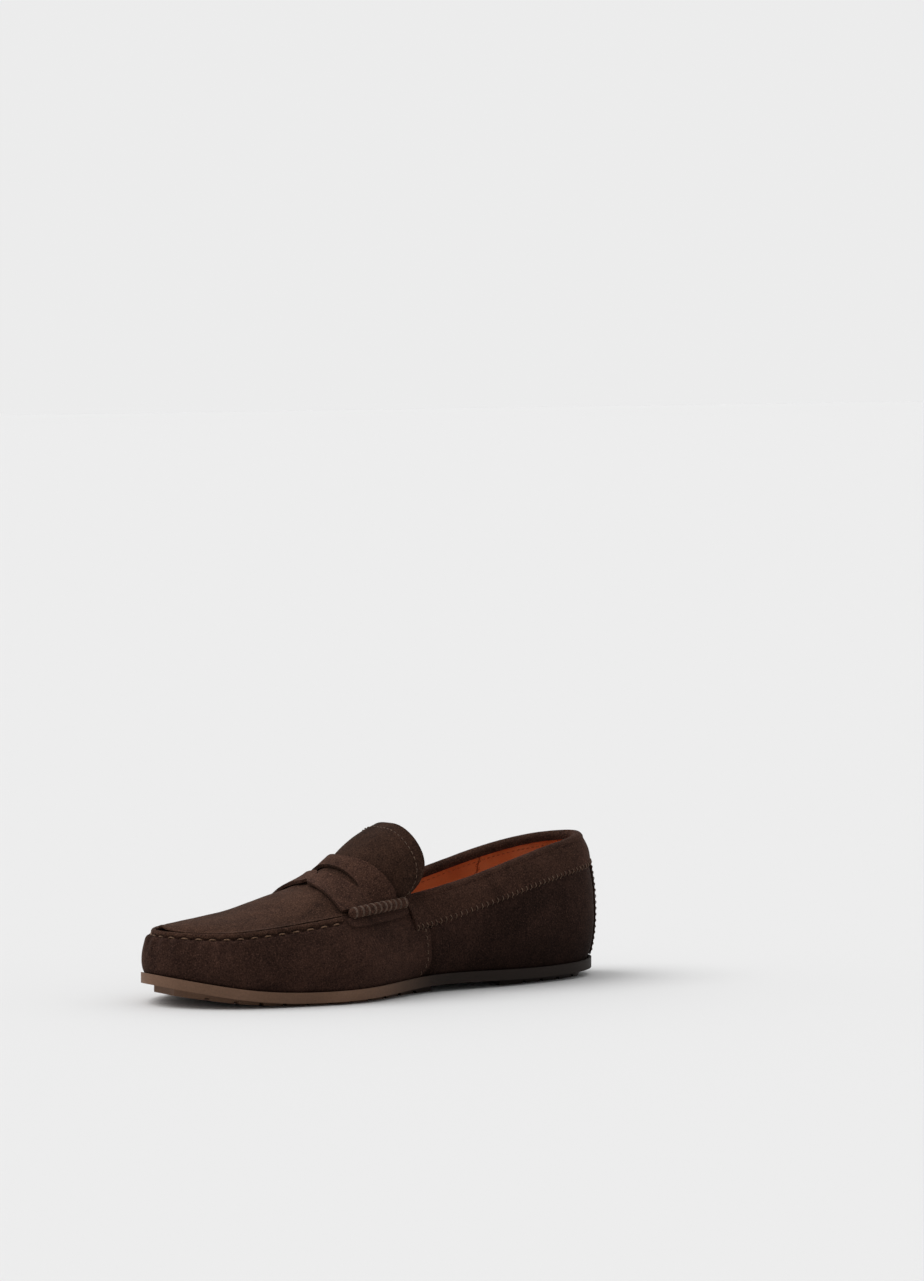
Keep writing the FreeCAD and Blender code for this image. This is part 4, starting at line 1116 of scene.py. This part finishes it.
def backstay_stitches():
    edge = (BACKSTAY_WIDTH / 2 - 2.0) / OUTLINE_RUN
    starts, ends = [], []
    for turn in (-edge, edge):
        top = float(share_below_top(np.array([turn]), COLLAR_HEIGHT + 3.0)[0])
        for share in np.linspace(0.08, top, 15):
            starts.append((turn, share - 0.013))
            ends.append((turn, share + 0.013))
    piece = stitches("backstay_thread", on_wall(PLY_GAP + BACKSTAY + 0.3), starts, ends, FINE_RADIUS)
    return dress(piece, FINE_THREAD, "fine_thread", "backstay_stitches")


def tongue_stitches():

    def surface(at, height):
        a, b = at[:, 0], at[:, 1]
        near_a = np.stack([a, a + 0.004, a])
        near_b = np.stack([b, b, b + 0.004])
        p, q, r = apron_face(near_a, near_b)[0]
        return p + unit(np.cross(r - p, q - p)) * height[:, None]

    row = 0.965
    line = np.linspace(0.06, 0.94, 300)
    run = run_along(apron_face(np.full(300, row), line)[0])
    count = int(run[-1] / FINE_PITCH)
    middles = (np.arange(count) + 0.5) * run[-1] / count
    starts = [(row, np.interp(m - FINE_HALF, run, line)) for m in middles]
    ends = [(row, np.interp(m + FINE_HALF, run, line)) for m in middles]
    piece = stitches("tongue_thread", surface, starts, ends, FINE_RADIUS)
    return dress(piece, FINE_THREAD, "fine_thread", "tongue_stitches")


def collar_stitches():
    count = int(COLLAR_RUN / WHIP_PITCH)
    turns = COLLAR_START + (COLLAR_END - COLLAR_START) * (np.arange(count) + 0.5) / count
    low = share_below_top(turns, COLLAR_HEIGHT + 0.9)
    high = share_below_top(turns, COLLAR_HEIGHT - 2.4)
    starts = np.stack([turns - 0.0006, low], axis=1)
    stops = np.stack([turns + 0.0006, high], axis=1)
    k = np.linspace(0, 1, 9)
    base = 0.1 + (PLY_GAP + COLLAR + 0.1) * smoothstep(k, 0.1, 0.45)
    height = base + 0.25 - 0.9 * np.abs(2 * k - 1) ** 5
    paths = []
    for a, b in zip(starts, stops):
        at = a + (b - a) * k[:, None]
        paths.append(wall(at[:, 0], at[:, 1], -height))
    piece = tubes("collar_thread", paths, [0.3] * count, sides=8)
    return dress(piece, FINE_THREAD, "fine_thread", "collar_stitches")


apron_stitches()
for side in ("lateral", "medial"):
    seam_stitches(side)
backstay_stitches()
tongue_stitches()
collar_stitches()

# ---------- linings and footbed


def lining_threads():
    """The row of stitches under the rolled topline, and the zigzag over the lining's two seams."""
    paths = []
    count = int(COLLAR_RUN / FINE_PITCH)
    half = 1.1 / OUTLINE_RUN
    k = np.linspace(0, 1, 7)
    height = 0.25 - 0.8 * np.abs(2 * k - 1) ** 3.5
    for i in range(count):
        turn = COLLAR_START + (COLLAR_END - COLLAR_START) * (i + 0.5) / count
        turns = turn - half + 2 * half * k
        share = share_below_top(turns, COLLAR_TURN_IN + 1.6)
        paths.append(wall(turns, share, WALL_PLIES + height))
    zigzag = 2.6
    for lateral in (True, False):
        seam = float(turn_at(LINING_SEAM, lateral))
        for i in range(16):
            drop = COLLAR_TURN_IN + 1.5 + i * zigzag
            way = 1 if i % 2 else -1
            turns = seam + way * 2.2 / OUTLINE_RUN * (2 * k - 1)
            share = share_below_top(turns, drop + zigzag * k)
            paths.append(wall(turns, share, WALL_PLIES + height))
    piece = tubes("lining_thread", paths, [FINE_RADIUS] * len(paths), sides=8)
    return dress(piece, TAN_THREAD, "fine_thread")


def paint(material, *nodes):
    for node in nodes:
        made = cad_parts[node]
        made.data.materials.clear()
        made.data.materials.append(material)


lining_threads()
paint(TAN, "heel_lining", "quarter_lining_lateral", "quarter_lining_medial")
paint(TAN, "vamp_lining", "tongue_lining", "sock_liner")
paint(BOARD, "insole_board", "heel_counter")
paint(FOAM, "footbed_cushion", "bottom_filler")
paint(RUBBER, "outsole")

# ---------- floor, light and camera


def floor():
    size = 12.0
    mesh = bpy.data.meshes.new("floor")
    corners = [(-size, -size, 0), (size, -size, 0), (size, size, 0), (-size, size, 0)]
    mesh.from_pydata(corners, [], [(0, 1, 2, 3)])
    n = Nodes("pale floor")
    n.set(n.shader, Base_Color=(0.80, 0.80, 0.80, 1), Roughness=0.9, Specular_IOR_Level=0.1)
    mesh.materials.append(n.material)
    add_object("floor", mesh)


BACKDROP = 0.84
BEHIND_CAMERA = (0.83, -0.56, 0.0)


def sun(name, place, strength, angle):
    data = bpy.data.lights.new(name, "SUN")
    data.energy = strength
    data.angle = math.radians(angle)
    light = add_object(name, data)
    light.rotation_mode = "QUATERNION"
    light.rotation_quaternion = Vector(place).to_track_quat("Z", "Y")


def studio():
    """A pale room that is darker behind the camera, and one large soft light above, towards the toe."""
    world = bpy.data.worlds.new("studio")
    bpy.context.scene.world = world
    world.use_nodes = True
    tree = world.node_tree
    background = tree.nodes["Background"]
    place = tree.nodes.new("ShaderNodeTexCoord")
    facing = tree.nodes.new("ShaderNodeVectorMath")
    facing.operation = "DOT_PRODUCT"
    facing.inputs[1].default_value = BEHIND_CAMERA
    shade = tree.nodes.new("ShaderNodeMapRange")
    shade.interpolation_type = "SMOOTHSTEP"
    limits = {"From Min": -0.2, "From Max": 0.9, "To Min": BACKDROP, "To Max": 0.35 * BACKDROP}
    for key, value in limits.items():
        shade.inputs[key].default_value = value
    tree.links.new(place.outputs["Generated"], facing.inputs[0])
    tree.links.new(facing.outputs["Value"], shade.inputs["Value"])
    tree.links.new(shade.outputs["Result"], background.inputs["Strength"])
    background.inputs["Color"].default_value = (1.0, 1.0, 1.0, 1)
    sun("soft key", (-0.40, -0.60, 1.1), 1.42, 45.0)
    bpy.context.scene.view_settings.view_transform = "Standard"


def camera():
    """Stands where the photographer stood: a long lens, low over the floor, off the toe's lateral side."""
    turned = 0.977
    tilt = 0.063
    data = bpy.data.cameras.new("camera")
    data.sensor_fit = "AUTO"
    data.sensor_width = 36.0
    data.lens = 36.0 * 5725.5 / 1281
    data.clip_start, data.clip_end = 0.1, 60.0
    made = add_object("camera", data)
    place = np.array([2677.5, -1747.5, 397.5]) + SHIFT
    level = math.cos(tilt)
    forward = Vector((-math.sin(turned) * level, math.cos(turned) * level, -math.sin(tilt)))
    right = Vector((math.cos(turned), math.sin(turned), 0.0))
    up = right.cross(forward)
    turn = Matrix((right, up, -forward)).transposed().to_4x4()
    made.matrix_world = Matrix.Translation(Vector(place * MM)) @ turn
    bpy.context.scene.camera = made


floor()
studio()
camera()
